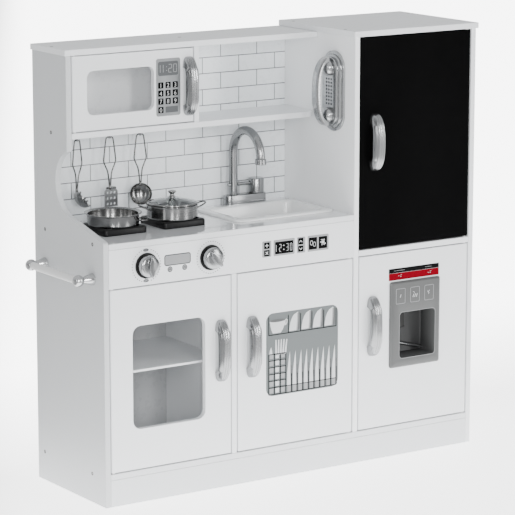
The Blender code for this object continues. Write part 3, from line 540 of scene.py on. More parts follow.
def inset_rectangle(low, high, inset, radius, steps):
    """A rounded rectangle inside two corners, or outside them if the inset is negative."""
    return rounded_rectangle([value + inset for value in low], [value - inset for value in high], radius,
        steps)


def upright(outline, y):
    """An outline of x and z at one depth."""
    return [Vector((x, y, z)) for x, z in outline]


def laid(outline, z):
    """An outline of x and y at one height."""
    return [Vector((x, y, z)) for x, y in outline]


def stadium(half_straight, radius, steps):
    return arc((0, half_straight), radius, 0, 180, steps) + arc((0, -half_straight), radius, 180, 360,
        steps)


def offset(outline, distance):
    """Move a closed outline outwards, or inwards if the distance is negative; it runs anticlockwise."""
    moved = []
    count = len(outline)
    for i in range(count):
        before, here, after = (Vector(outline[j % count]) for j in (i - 1, i, i + 1))
        first, second = (here - before).normalized(), (after - here).normalized()
        along = (first + second).normalized()
        out = Vector((along.y, -along.x))
        stretch = max(0.5, out.dot(Vector((first.y, -first.x))))
        moved.append(tuple(here + out * distance / stretch))
    return moved


def absorb(bm, other, degrees, axis, shift):
    """Turn and move one mesh, and add it to another."""
    bmesh.ops.rotate(other, verts=other.verts, cent=(0, 0, 0), matrix=rotation(degrees, axis, 3))
    bmesh.ops.translate(other, verts=other.verts, vec=shift)
    mesh = bpy.data.meshes.new("part")
    other.to_mesh(mesh)
    other.free()
    bm.from_mesh(mesh)
    bpy.data.meshes.remove(mesh)


def facing_front(x, y, z):
    """Turn a lathe's Z towards the front."""
    return Matrix.Translation((x, y, z)) @ rotation(90, "X")


def facing_left(x, y, z):
    return Matrix.Translation((x, y, z)) @ rotation(-90, "Y")


def span(node):
    """A CAD node's box, measured from the cabinet's corner."""
    low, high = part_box(node)
    return low - CORNER, high - CORNER


def middle(node):
    low, high = span(node)
    return (low + high) / 2


def piece(name, bm, finish, body="cabinet", replaces=(), smooth=40, bevel=0.0, subdivide=0, slot=None):
    """Make an object from mesh code in cabinet distances, and let it ride its body."""
    bmesh.ops.recalc_face_normals(bm, faces=bm.faces)
    bmesh.ops.translate(bm, verts=bm.verts, vec=CORNER)
    mesh = bpy.data.meshes.new(name)
    bm.to_mesh(mesh)
    bm.free()
    mesh.materials.append(MATERIALS[finish])
    made = bpy.data.objects.new(name, mesh)
    SCENE.collection.objects.link(made)
    if bevel:
        rounder = made.modifiers.new("edges", "BEVEL")
        rounder.width = bevel
        rounder.segments = 2
        rounder.limit_method = "ANGLE"
        rounder.angle_limit = math.radians(40)
    if subdivide:
        made.modifiers.new("round", "SUBSURF").levels = subdivide
        made.modifiers["round"].render_levels = subdivide
    if smooth:
        mesh.shade_smooth()
        mesh.set_sharp_from_angle(angle=math.radians(smooth))
    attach(made, body)
    if replaces:
        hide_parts(*replaces)
    return made


def printed(body, *pieces):
    """Flat prints, each a name, its mesh and its ink."""
    for name, bm, ink in pieces:
        piece(name, bm, ink, body, smooth=None)


def turned(name, profile, sides, placed, finish, body, replaces=(), **looks):
    bm = bmesh.new()
    lathe(bm, profile, sides, placed)
    piece(name, bm, finish, body, replaces, **looks)


def lofted(name, rings, finish, body, replaces=(), **looks):
    bm = bmesh.new()
    loft(bm, rings)
    piece(name, bm, finish, body, replaces, **looks)


# ---- handles --------------------------------------------------------------------------------

# Half of a pull's back, from its middle out: how far across, and how far below the crest
HALF_BACK = [(0.9, 0.15), (1.8, 1.0), (2.75, 1.5), (3.7, 1.0), (4.6, 0.2), (5.5, 0.0), (6.4, 0.15),
    (7.4, 0.9), (8.6, 2.9), (10.2, 5.6)]
HANDLE_RIDGES = [(-across, drop) for across, drop in reversed(HALF_BACK)] + [(0.0, 0.0)] + HALF_BACK


def handle(node, body):
    """An arched pull with three ridges along its back, sloping shoulders and two solid feet."""
    low, high = span(node)
    center, base = (low + high) / 2, high.y
    half = (high.z - low.z) / 2
    reach = high.y - low.y
    half_width = (high.x - low.x) / 2
    gap_half = half - 22.5 * MM
    gap_depth = 11.6 * MM
    heights = {half * math.sin(math.pi * (k / 40 - 0.5)) for k in range(1, 40)}
    heights |= {sign * (gap_half + shift) for sign in (-1, 1) for shift in (0.4 * MM, -0.4 * MM, -2 * MM,
        -4 * MM)}
    rings = []
    for up in sorted(heights):
        u = abs(up) / half
        outer = reach * (1 - u ** 2.5) ** 0.5
        inner = 0.0 if abs(up) > gap_half else gap_depth * (1 - (abs(up) / gap_half) ** 9) ** 0.4
        inner = min(inner, outer * 0.8)
        width = half_width * (1 - u ** 7) ** 0.3
        scale = width / half_width
        depth = min(1.0, outer / (14 * MM), (outer - inner) / (9 * MM))
        ring = [(center.x - width, inner), (center.x - width, inner + (outer - inner) * 0.30)]
        ring += [(center.x + x * MM * scale, outer - drop * MM * depth) for x, drop in HANDLE_RIDGES]
        ring += [(center.x + width, inner + (outer - inner) * 0.30), (center.x + width, inner)]
        rings.append([Vector((x, base - off, center.z + up)) for x, off in ring])
    lofted(node + "_pull", rings, "silver", body, (node,), smooth=60)


def handles():
    for node, door in (("oven_handle", "oven"), ("dishwasher_handle", "dishwasher"),
            ("dispenser_door_handle", "dispenser"), ("fridge_handle", "fridge"),
            ("microwave_handle", "microwave")):
        handle(node, door + "_door")


# ---- knobs ----------------------------------------------------------------------------------

def knob(side, turn):
    """A black collar with a raised ring, and a domed metal knob with a waisted lens-shaped grip."""
    low, high = span(side + "_knob_collar")
    x, z = (low.x + high.x) / 2, (low.z + high.z) / 2
    placed = facing_front(x, 0, z)
    rim = (high.x - low.x) / 2 - 0.1 * MM
    face = -low.y - 0.1 * MM
    collar = [(rim * 0.55, 0.3 * MM), (rim, 0.3 * MM), (rim, face * 0.72), (rim - 0.5 * MM, face * 0.95),
        (rim - 1.3 * MM, face), (rim - 2.0 * MM, face * 0.96), (rim - 2.5 * MM, face * 0.75),
        (rim * 0.55, face * 0.75)]
    turned(side + "_collar_ring", collar, 72, placed, "black", "cabinet", (side + "_knob_collar",),
        smooth=35)
    skirt = 21.8 * MM
    rise = face + 0.4 * MM
    dome = [(0, rise), (skirt - 0.4 * MM, rise), (skirt, rise + 0.4 * MM), (skirt, 15.0 * MM),
        (skirt - 0.5 * MM, 16.0 * MM), (skirt - 2.0 * MM, 17.0 * MM), (18.0 * MM, 18.0 * MM),
        (14.0 * MM, 18.9 * MM), (8.0 * MM, 19.8 * MM), (0, 20.2 * MM)]
    bm = bmesh.new()
    lathe(bm, dome, 72, placed)
    reach = -span(side + "_knob")[0].y - 0.1 * MM
    rings = []
    for depth, width, length in ((9.0 * MM, 11.5, 21.6), (12.5 * MM, 9.2, 21.4), (16.0 * MM, 7.9, 21.1),
            (20.0 * MM, 7.3, 20.9), (24.0 * MM, 7.3, 20.7), (reach - 0.8 * MM, 7.3, 20.6),
            (reach - 0.2 * MM, 7.0, 20.3), (reach, 6.3, 19.6)):
        radius = (width ** 2 + length ** 2) / (2 * width)
        spread = math.degrees(math.asin(length / radius))
        right_side = arc((width - radius, 0), radius, -spread, spread, 14)
        left_side = arc((radius - width, 0), radius, 180 - spread, 180 + spread, 14)
        rings.append([Vector((u * MM, -depth, v * MM)) for u, v in right_side[:-1] + left_side[:-1]])
    grip = bmesh.new()
    loft(grip, rings)
    absorb(bm, grip, turn, "Y", (x, 0, z))
    piece(side + "_knob_cap", bm, "silver", side + "_knob", (side + "_knob",), smooth=35)


# ---- hob ------------------------------------------------------------------------------------

def grate(node):
    """A moulded pan support: a rounded frame with an inner step and a cross on a small hub."""
    low, high = span(node)
    x, y = (low.x + high.x) / 2, (low.y + high.y) / 2
    half = (high.x - low.x) / 2
    base, top = low.z, high.z

    def ring(inset, height, corner):
        return laid(inset_rectangle((x - half, y - half), (x + half, y + half), inset, corner * MM, 6),
            height)

    bm = bmesh.new()
    loft(bm, [ring(0.4 * MM, base, 7.6), ring(0, base + 1 * MM, 8), ring(0, top - 4.0 * MM, 8),
        ring(0.9 * MM, top - 1.6 * MM, 7.4), ring(2.8 * MM, top - 0.2 * MM, 6.6), ring(8.6 * MM, top, 6),
        ring(9.8 * MM, top - 0.8 * MM, 5), ring(10.2 * MM, top - 3 * MM, 4.5), ring(10.8 * MM, base, 4)],
        looped=True)
    piece(node + "_frame", bm, "gloss_black", "cabinet", (node,), smooth=35)
    bm = bmesh.new()
    arm = 4.6 * MM
    inner = half - 9.5 * MM
    for turn in (0, 90):
        rings = []
        for along in (-inner, -inner + 3 * MM, -9 * MM, 9 * MM, inner - 3 * MM, inner):
            section = rounded_rectangle((-arm, base + 1 * MM), (arm, top - 0.2 * MM), 1.4 * MM, 3)
            rings.append([Vector((along, u, v)) for u, v in section])
        bar = bmesh.new()
        loft(bar, rings)
        absorb(bm, bar, turn, "Z", (x, y, 0))
    lathe(bm, [(0, base + 1 * MM), (11 * MM, base + 1 * MM), (11 * MM, top - 1.2 * MM),
        (10 * MM, top - 0.3 * MM), (0, top - 0.3 * MM)], 40, Matrix.Translation((x, y, 0)))
    piece(node + "_cross", bm, "gloss_black", "cabinet", smooth=35)


def wire_loop(bm, x, y, z, radius, turn, slope):
    """A round-cornered wire loop, level or tilted up, with two welded pads on the pot's wall."""
    reach, half_width, wire = 21.4 * MM, 13 * MM, 1.6 * MM
    root = math.sqrt(radius ** 2 - half_width ** 2) - 1.0 * MM
    points = [(root, -half_width), (root + reach * 0.45, -half_width), (root + reach * 0.78,
        -half_width * 0.86), (root + reach * 0.97, -half_width * 0.5), (root + reach, 0)]
    points += [(u, -v) for u, v in reversed(points[:-1])]
    angle = math.radians(turn)

    def spot(u, v):
        return Vector((x + u * math.cos(angle) - v * math.sin(angle), y + u * math.sin(angle)
            + v * math.cos(angle), z + (u - root) * slope))

    sweep(bm, spline([spot(u, v) for u, v in points], 5), wire, 12)
    for side in (-1, 1):
        pad = [spot(root - 0.3 * MM, side * half_width * 0.98), spot(root + 1.6 * MM, side * half_width)]
        sweep(bm, pad, [3.1 * MM, 2.6 * MM], 14)


def cooking_pot(node, center, radius, rim, height, turns, loop_drop, slope):
    """A spun pot with a tight foot, a rolled rim and wire loops."""
    x, y = center
    base = span(node)[0].z
    top = base + height
    inner = radius - 1.0 * MM
    profile = [(0, base), (radius - 2.4 * MM, base), (radius - 1.0 * MM, base + 0.4 * MM),
        (radius - 0.2 * MM, base + 1.4 * MM), (radius, base + 3.0 * MM), (radius, top - 4.2 * MM),
        (radius + (rim - radius) * 0.25, top - 2.6 * MM), (rim - 0.6 * MM, top - 1.7 * MM),
        (rim - 0.1 * MM, top - 1.2 * MM), (rim, top - 0.7 * MM), (rim - 0.3 * MM, top - 0.15 * MM),
        (rim - 0.9 * MM, top), (rim - 2.0 * MM, top - 0.5 * MM), (inner, top - 2.6 * MM),
        (inner, base + 4.5 * MM), (inner - 0.8 * MM, base + 2.6 * MM), (inner - 2.4 * MM, base + 1.6 * MM),
        (0, base + 1.4 * MM)]
    bm = bmesh.new()
    lathe(bm, profile, 96, Matrix.Translation((x, y, 0)))
    piece(node + "_shell", bm, "steel", node, (node,), smooth=50)
    bm = bmesh.new()
    for turn in turns:
        wire_loop(bm, x, y, top - loop_drop, radius, turn, slope)
    piece(node + "_loops", bm, "wire", node, smooth=50)


def cookware():
    """The pan has one level loop and the pot two tilted ones; the pan's rim touches its box left and back."""
    pan_rim = 58.5 * MM
    low, high = span("pan")
    cooking_pot("pan", (low.x + pan_rim, high.y - pan_rim), 52.5 * MM, 58.4 * MM, 24.4 * MM, (-42,),
        13.5 * MM, 0)
    axis = middle("pot_lid")
    cooking_pot("pot", (axis.x, axis.y), 52.0 * MM, 53.4 * MM, 27.4 * MM, (-12.5, 167.5), 9.0 * MM, 0.42)


def lid():
    """A glass dome in a rolled steel band, with a waisted steel knob."""
    low, high = span("pot_lid")
    x, y = (low.x + high.x) / 2, (low.y + high.y) / 2
    rim = (high.x - low.x) / 2 - 0.1 * MM
    base = low.z
    placed = Matrix.Translation((x, y, base))
    skin = 1.3 * MM

    def rise(radius):
        return 3.4 * MM + 11.2 * MM * (1 - (radius / rim) ** 1.5) ** 0.95

    radii = [rim * k / 14 for k in range(15)]
    top = [(r, rise(r)) for r in radii[:14]]
    bm = bmesh.new()
    lathe(bm, top + [(radii[13], rise(radii[13]) - skin)] + [(r, h - skin) for r, h in reversed(top[:-1])],
        96, placed)
    piece("lid_dome", bm, "glass", "pot_lid", ("pot_lid",), smooth=60, slot="lid_glass")
    bm = bmesh.new()
    band = [(rim - 4.6 * MM, 4.0 * MM), (rim - 3.0 * MM, 4.5 * MM), (rim - 1.0 * MM, 4.0 * MM),
        (rim - 0.1 * MM, 3.0 * MM), (rim, 1.8 * MM), (rim - 0.3 * MM, 0.6 * MM), (rim - 1.2 * MM, 0.1 * MM),
        (rim - 4.4 * MM, 0.1 * MM)]
    lathe(bm, band, 96, placed)
    piece("lid_band", bm, "steel", "pot_lid", smooth=50, slot="steel")
    stem = mm((0, 13.2), (7.6, 13.4), (7.4, 14.9), (5.8, 15.9), (4.3, 17.6), (3.9, 19.4), (4.7, 21.4),
        (6.8, 23.0), (8.3, 24.0), (8.7, 25.2), (8.2, 26.4), (6.4, 27.2), (0, 27.6))
    turned("lid_knob", stem, 48, placed, "steel", "pot_lid", smooth=50, slot="steel")


# ---- utensils -------------------------------------------------------------------------------

def hook_rail():
    low, high = span("utensil_hook_rail")
    strip = rounded_rectangle((low.x + 0.1 * MM, high.y - 17 * MM), (high.x - 0.1 * MM, high.y - 0.1 * MM),
        3 * MM)
    bm = bmesh.new()
    top = high.z
    loft(bm, [laid(offset(strip, -inset * MM), top - drop * MM) for inset,
        drop in ((0, 0), (0, 3.0), (0.7, 3.9))])
    curl = 6.5 * MM
    wire = 1.5 * MM
    for x in HOOKS.values():
        low_z = low.z + wire + curl
        curve = arc((HANG_Y, low_z), curl, 0, -180, 14)
        path = [(x, HANG_Y + curl, top - 2 * MM), (x, HANG_Y + curl, top - 5 * MM)]
        path += [(x, u, v) for u, v in curve]
        path += [(x, HANG_Y - curl, low_z + rise * MM) for rise in (2.2, 2.9)]
        radii = [wire] * (len(path) - 1) + [wire * 0.5]
        sweep(bm, path, radii, 14)
        lathe(bm, [(0, top - 6.2 * MM), (3.0 * MM, top - 6.2 * MM), (4.0 * MM, top - 5.2 * MM),
            (4.0 * MM, top - 4 * MM), (0, top - 4 * MM)], 24, Matrix.Translation((x, HANG_Y + curl, 0)))
    piece("hook_strip", bm, "chrome", "cabinet", ("utensil_hook_rail",), smooth=40)


def wire_handle(bm, x, half_width, turn, lean):
    foot, shoulder = -0.108, -0.064
    side = [(0.0012, foot), (0.0018, -0.100), (0.0030, -0.086), (0.0048, -0.074),
        (half_width * 0.62, shoulder), (half_width, -0.052), (half_width * 0.97, -0.042),
        (half_width * 0.80, -0.024), (half_width * 0.64, -0.008), (half_width * 0.46, -0.002)]
    angle = math.radians(turn)
    path = []
    for u, v in side + [(0, 0)] + [(-u, v) for u, v in reversed(side)]:
        shift = lean * max(0, (shoulder - v) / (shoulder - foot))
        path.append((x + shift + u * math.cos(angle), HANG_Y + u * math.sin(angle), HANG_Z + v))
    sweep(bm, spline(path, 4), 1.4 * MM, 10)
    neck = [(x + lean, HANG_Y, HANG_Z - 0.0995), (x + lean, HANG_Y, HANG_Z - 0.101),
        (x + lean, HANG_Y, HANG_Z - 0.110)]
    sweep(bm, neck, [1.6 * MM, 2.6 * MM, 2.4 * MM], 16)


def bowl(bm, center, radius, depth, mouth):
    """A pressed spoon bowl with a rolled lip; mouth is the way it opens."""
    wall = 0.9 * MM
    angles = [math.radians(90 * k / 14) for k in range(15)]
    outer = [(radius * math.sin(a), -depth * math.cos(a)) for a in angles]
    lip = [(radius, 0.35 * MM), (radius - wall * 0.5, 0.55 * MM), (radius - wall, 0.3 * MM)]
    inner = [((radius - wall) * math.sin(a), (wall - depth) * math.cos(a)) for a in reversed(angles)]
    placed = Matrix.Translation(center) @ Vector(mouth).to_track_quat("Z", "Y").to_matrix().to_4x4()
    lathe(bm, outer + lip + inner, 48, placed)
    return placed


def pasta_server():
    bm = bmesh.new()
    x = HOOKS["pasta_server"]
    wire_handle(bm, x, 0.0140, 20, -0.0024)
    piece("server_wire", bm, "wire", "pasta_server", smooth=50)
    bm = bmesh.new()
    radius = 0.0205
    placed = bowl(bm, (x + 0.0098, HANG_Y - 0.003, HANG_Z - 0.1225), radius, 0.0155, (0.75, -0.2, 0.55))
    piece("server_body", bm, "steel", "pasta_server", ("pasta_server",), smooth=50)
    teeth = bmesh.new()
    for k in range(9):
        turn = math.radians(-170 + 42.5 * k)
        inner_end = placed @ Vector(((radius - 2.2 * MM) * math.cos(turn),
            (radius - 2.2 * MM) * math.sin(turn), -2.4 * MM))
        outer_end = placed @ Vector(((radius + 2.2 * MM) * math.cos(turn),
            (radius + 2.2 * MM) * math.sin(turn), 4.0 * MM))
        sweep(teeth, [inner_end, inner_end.lerp(outer_end, 0.6), outer_end], [2.2 * MM, 2.0 * MM, 1.2 * MM],
            12)
    piece("server_teeth", teeth, "steel", "pasta_server", smooth=50)


def slotted_turner():
    """A flat blade with three rows of three slots, and a rounded shoulder at the neck."""
    x = HOOKS["slotted_turner"]
    bm = bmesh.new()
    wire_handle(bm, x, 0.0140, 0, 0)
    shoulder = [(x + 2.4 * MM + u * MM, HANG_Y, HANG_Z - 0.1062 - v * MM) for u,
        v in ((-11.0, 2.0), (-9, 0.7), (0, 0), (9, 0.7), (11.0, 2.0))]
    sweep(bm, spline(shoulder, 4), 2.2 * MM, 12)
    piece("turner_wire", bm, "wire", "slotted_turner", smooth=50, slot="steel")
    bm = bmesh.new()
    thick = 0.9 * MM
    low = HANG_Z - 0.1458
    center = x + 2.4 * MM
    us = [-15.5, -10.2, -6.6, -2.0, 1.6, 6.2, 9.8, 15.5]
    vs = [0, 3.6, 8.4, 15.2, 20.0, 26.8, 31.6, 41.6]
    slant, slant_middle, row = 0.22, 5.8, 11.6
    corner_pull, corner_drop = 0.78, 5
    blades = {}
    for side, y in enumerate((HANG_Y - thick, HANG_Y + thick)):
        for i, u in enumerate(us):
            for j, v in enumerate(vs):
                across, up = u, v
                if 0 < i < len(us) - 1:
                    across += slant * (v % row) - slant * slant_middle
                elif j == len(vs) - 1:
                    across, up = u * corner_pull, v - corner_drop
                blades[side, i, j] = bm.verts.new((center + across * MM, y, low + up * MM))
    open_cells = {(i, j) for i in (1, 3, 5) for j in (1, 3, 5)}
    cells = {(i, j) for i in range(len(us) - 1) for j in range(len(vs) - 1)} - open_cells
    for i, j in cells:
        for side in (0, 1):
            bm.faces.new([blades[side, a, b] for a, b in ((i, j), (i + 1, j), (i + 1, j + 1), (i, j + 1))])
        for (a, b), (c, d), neighbour in (((i, j), (i + 1, j), (i, j - 1)),
                ((i + 1, j), (i + 1, j + 1), (i + 1, j)), ((i + 1, j + 1), (i, j + 1), (i, j + 1)),
                ((i, j + 1), (i, j), (i - 1, j))):
            if neighbour not in cells:
                bm.faces.new((blades[0, a, b], blades[0, c, d], blades[1, c, d], blades[1, a, b]))
    piece("turner_blade", bm, "pressed", "slotted_turner", ("slotted_turner",), smooth=30, bevel=0.25 * MM)


def ladle():
    bm = bmesh.new()
    x = HOOKS["ladle"]
    wire_handle(bm, x, 0.0142, 0, 0)
    piece("ladle_wire", bm, "wire", "ladle", smooth=50)
    bm = bmesh.new()
    bowl(bm, (x - 0.0005, HANG_Y - 0.003, HANG_Z - 0.1260), 0.0230, 0.0158, (-0.5, -0.85, 0.1))
    piece("ladle_body", bm, "steel", "ladle", ("ladle",), smooth=50)


# ---- sink and tap ---------------------------------------------------------------------------

def sink():
    """A drawn basin with a raised rounded rim and a soft floor radius."""
    low, high = span("sink_basin")
    top, bottom = high.z, low.z
    rim = 21 * MM

    def ring(margin, corner, height):
        corners = (low.x + rim, low.y + rim), (high.x - rim, high.y - rim)
        return laid(inset_rectangle(*corners, -margin * MM, corner * MM, 8), height)

    floor = bottom + 2.5 * MM
    wall = 1.6 * MM
    bm = bmesh.new()
    loft(bm, [ring(-12, 9, floor), ring(-7.5, 11, floor + 0.8 * MM), ring(-5.0, 12, floor + 3.2 * MM),
        ring(-4.0, 12.5, floor + 7 * MM), ring(-0.8, 14, top - 4.5 * MM), ring(0.2, 14.5, top - 1.6 * MM),
        ring(1.8, 15.5, top - 0.2 * MM), ring(3.6, 16, top), ring(17.4, 18, top),
        ring(19.4, 19, top - 0.5 * MM), ring(20.7, 19.5, top - 2.0 * MM), ring(20.9, 19.6, top - 4.4 * MM),
        ring(1.6, 15, top - 4.4 * MM), ring(-3.0, 12, floor + 3 * MM - wall), ring(-8, 10, floor - wall)])
    piece("sink_bowl", bm, "basin", "cabinet", ("sink_basin",), smooth=45)


def tap():
    """A long base, a swan-neck spout with a nozzle collar, and a drum knob on a cross stub."""
    low, high = span("tap_base")
    y = (low.y + high.y) / 2
    radius = (high.y - low.y) / 2
    left, right = low.x + radius, high.x - radius
    rings = []
    for height, inset in ((low.z, 0.1), (low.z + 1.2 * MM, 0.1), (high.z - 2.2 * MM, 0.7),
            (high.z - 0.7 * MM, 1.1), (high.z - 0.1 * MM, 2.3)):
        size = radius - inset * MM
        rings.append(laid(arc((right, y), size, -90, 90, 14) + arc((left, y), size, 90, 270, 14), height))
    lofted("tap_block", rings, "silver", "cabinet", ("tap_base",), smooth=35)
    low, high = span("tap_spout")
    x = (low.x + high.x) / 2
    foot, pipe = low.z, 9.4 * MM
    bend = 52.5 * MM
    bend_z = high.z - pipe - bend
    curve = arc((y - bend, bend_z), bend, 0, 180, 40)
    path = [(x, y, foot + 0.1 * MM), (x, y, foot + 20 * MM)] + [(x, u, v) for u, v in curve]
    path += [(x, y - 2 * bend, bend_z - drop * MM) for drop in (0.4, 0.9, 1.6, 11.4, 12.3)]
    radii = [pipe] * (len(path) - 4) + [10.9 * MM, 11.7 * MM, 12.3 * MM, 11.6 * MM]
    bm = bmesh.new()
    sweep(bm, path, radii, 48)
    stub = foot + 22 * MM
    sweep(bm, [(x - pipe - 3.0 * MM, y, stub), (x - pipe - 2.4 * MM, y, stub), (x, y, stub)],
        [3.4 * MM, 4.0 * MM, 4.0 * MM], 24)
    piece("tap_pipe", bm, "silver", "tap_spout", ("tap_spout",), smooth=40)
    low, high = span("tap_knob")
    size = 16.4 * MM
    x = high.x - size - 0.1 * MM
    top = high.z - low.z
    drum = [(0, 0.1 * MM), (size - 0.8 * MM, 0.1 * MM), (size, 0.9 * MM), (size, top - 2.0 * MM),
        (size - 0.5 * MM, top - 0.9 * MM), (size - 1.6 * MM, top - 0.3 * MM),
        (size - 3.4 * MM, top - 0.1 * MM), (0, top - 0.1 * MM)]
    bm = bmesh.new()
    lathe(bm, drum, 64, Matrix.Translation((x, y, low.z)))
    sweep(bm, [(low.x + 0.1 * MM, y, stub), (x - size + 2 * MM, y, stub)], 3.6 * MM, 20)
    piece("tap_drum", bm, "silver", "tap_knob", ("tap_knob",), smooth=35)


# ---- phone ----------------------------------------------------------------------------------

def phone():
    """A three-step wall plate with its keys, and a bowed handset with two cups."""
    low, high = span("phone_base")
    y, z = (low.y + high.y) / 2, (low.z + high.z) / 2
    wall = high.x
    half_width, half_height = (high.y - low.y) / 2, (high.z - low.z) / 2
    step = (high.x - low.x) / 3
    rings = []
    for level in range(3):
        inset = level * 6.2 * MM
        for up, more in ((0.0, 0.1), (step - 1.4 * MM, 0.1), (step - 0.4 * MM, 0.5),
                (step - (0.1 * MM if level == 2 else 0), 1.4)):
            radius = half_width - inset - more * MM
            outline = stadium(half_height - half_width, radius, 20)
            rings.append([Vector((wall - level * step - up, y + u, z + v)) for u, v in outline])
    lofted("phone_plate", rings, "phone", "cabinet", ("phone_base",), smooth=30)
    face = wall - 3 * step
    keys = bmesh.new()
    for row in range(8):
        for column in (-1, 0, 1):
            spot = facing_left(face, y + column * 8.4 * MM, z + (row - 3.5) * 7.4 * MM)
            lathe(keys, mm((0, 0), (2.5, 0), (2.5, 0.10), (2.1, 0.22), (0, 0.26)), 16, spot)
    piece("phone_keys", keys, "black", "cabinet", smooth=40)
    low, high = span("phone_handset")
    seat = high.x
    half = (high.z - low.z) / 2
    rings = []
    steps = 44
    for k in range(steps + 1):
        turn = math.pi * (k / steps - 0.5)
        up = math.copysign(abs(math.sin(turn)) ** 0.83, turn)
        out = math.cos(turn)
        outer = Vector((6.1 * MM + 31.4 * MM * out, up * (half - 0.1 * MM)))
        inner = Vector((6.1 * MM + 21.2 * MM * out, up * (half - 10.5 * MM)))
        width = 9.8 * MM
        ring = []
        for across, toward in ((-1, 0.10), (-1, 0.32), (-1, 0.72), (-0.93, 0.92), (-0.75, 1.0), (-0.4, 1.0),
                (0.4, 1.0), (0.75, 1.0), (0.93, 0.92), (1, 0.72), (1, 0.32), (1, 0.10), (0.9, 0.0),
                (-0.9, 0.0)):
            spot = inner.lerp(outer, toward)
            ring.append(Vector((seat - spot.x, y + across * width, z + spot.y)))
        rings.append(ring)
    bm = bmesh.new()
    loft(bm, rings)
    for side in (-1, 1):
        cup = mm((0, 0.1), (15.4, 0.1), (16.3, 0.9), (16.4, 4.4), (16.0, 6.4), (14.6, 9.4), (12.0, 11.8),
            (8.0, 13.7), (4.0, 14.6), (0, 14.8))
        lathe(bm, cup, 48, facing_left(seat, y, z + side * 49.5 * MM))
    piece("handset", bm, "phone", "phone_handset", ("phone_handset",), smooth=35)


# ---- towel rail -----------------------------------------------------------------------------

def towel_rail():
    bar_low, bar_high = span("towel_bar")
    x, z = (bar_low.x + bar_high.x) / 2, (bar_low.z + bar_high.z) / 2
    radius = (bar_high.x - bar_low.x) / 2
    for side in ("front", "rear"):
        low, high = span("towel_post_" + side)
        y = (low.y + high.y) / 2
        ball = 12 * MM
        reach = -x
        curve = [(ball * math.sin(a), reach - ball * math.cos(a)) for a in [math.radians(32 + 148 * k / 16)
            for k in range(17)]]
        profile = mm((0, 0.4), (12.2, 0.4), (12.5, 0.8), (12.4, 1.6), (9.8, 11.2), (7.1, 20.6), (6.7, 21.8))
        profile += curve[:-1] + [(0, reach + ball)]
        bm = bmesh.new()
        lathe(bm, profile, 48, facing_left(0, y, z))
        piece("rail_post_" + side, bm, "chrome", "cabinet", ("towel_post_" + side,), smooth=40)
    bm = bmesh.new()
    ends = (bar_low.y, bar_high.y)
    placed = Matrix.Translation((x, 0, z)) @ rotation(-90, "X")
    lathe(bm, [(0, ends[0]), (radius - 0.8 * MM, ends[0]), (radius - 0.1 * MM, ends[0] + 0.7 * MM),
        (radius - 0.1 * MM, ends[1] - 0.7 * MM), (radius - 0.8 * MM, ends[1]), (0, ends[1])], 48, placed)
    piece("rail_bar", bm, "pale", "cabinet", ("towel_bar",), smooth=40)


# ---- dispenser in the lower right door ------------------------------------------------------

def dispenser():
    """The grey face and recess in one skin, a sloping ledge, a pale line round it and three icons."""
    low, high = span("dispenser_housing")
    face = low.y + 0.1 * MM
    back = high.y - 0.1 * MM
    corner = 7.5
    plate, hole = ((low.x, low.z), (high.x, high.z)), NICHE
    (hole_left, hole_bottom), (hole_right, _) = NICHE
    rear = -0.3 * MM
    bm = bmesh.new()
    loft(bm, [upright(inset_rectangle(*corners, inset * MM, radius * MM, 8), y) for corners, inset, y,
        radius in ((hole, -2.3, back, corner), (hole, -2.3, rear, corner), (plate, 0.1, rear, 5),
        (plate, 0.1, face + 3.6 * MM, 5), (plate, 3.6, face + 0.5 * MM, 3.4), (plate, 4.6, face, 3),
        (hole, -1.3, face, corner + 1.3), (hole, -0.4, face + 0.3 * MM, corner + 0.4),
        (hole, 0, face + 1.2 * MM, corner), (hole, 0.6, back - 5.2 * MM, corner),
        (hole, 1.8, back - 3.0 * MM, corner), (hole, 4.5, back - 1.9 * MM, 5))])
    piece("dispenser_face", bm, "dispenser", "dispenser_door", ("dispenser_housing",), smooth=35)
    bm = bmesh.new()
    inset = 1.0 * MM
    section = mm((3.2, 6.5), (7.5, 4.5), (9.0, 1.8), (8.2, -0.4), (3.2, -2.5))
    loft(bm, [[Vector((x, back - out, hole_bottom + height + rise)) for out, rise in section] for x,
        height in ((hole_left + inset, 29 * MM), (hole_right - inset, 4 * MM))])
    piece("dispenser_ledge", bm, "silver", "dispenser_door", smooth=60, bevel=0.8 * MM)
    light = bmesh.new()
    outline = inset_rectangle(*hole, -1.2 * MM, (corner + 1.2) * MM, 8)
    stroke_loop(light, outline, 0.9, face - 0.05 * MM)
    piece("niche_outline", light, "ink_light_grey", "dispenser_door", smooth=40)
    frames, icons = bmesh.new(), bmesh.new()
    for left in (0.7112, 0.7490, 0.7865):
        frame_low, frame_high = (left, 0.3333), (left + 24.4 * MM, 0.3663)
        stroke_loop(frames, rounded_rectangle(frame_low, frame_high, 2.6 * MM, 4), 0.9, face)
    stroke(icons, [(0.7222, 0.3470), (0.7245, 0.3535)], 1.3, face)
    for k in range(3):
        stroke(icons, [(0.7555 + k * 4.6 * MM, 0.3440), (0.7580 + k * 4.6 * MM, 0.3510)], 1.3, face)
    stroke(icons, arc((0.7545, 0.3500), 6.5 * MM, 20, 80, 6), 0.7, face)
    stroke(icons, [(0.7945, 0.3535), (0.7965, 0.3500), (0.7995, 0.3545)], 1.2, face)
    stroke(icons, [(0.7985, 0.3500), (0.7975, 0.3465)], 1.0, face)
    piece("dispenser_icon_frames", frames, "ink_light_grey", "dispenser_door", smooth=40)
    piece("dispenser_icons", icons, "ink_white", "dispenser_door", smooth=40)
    lever()


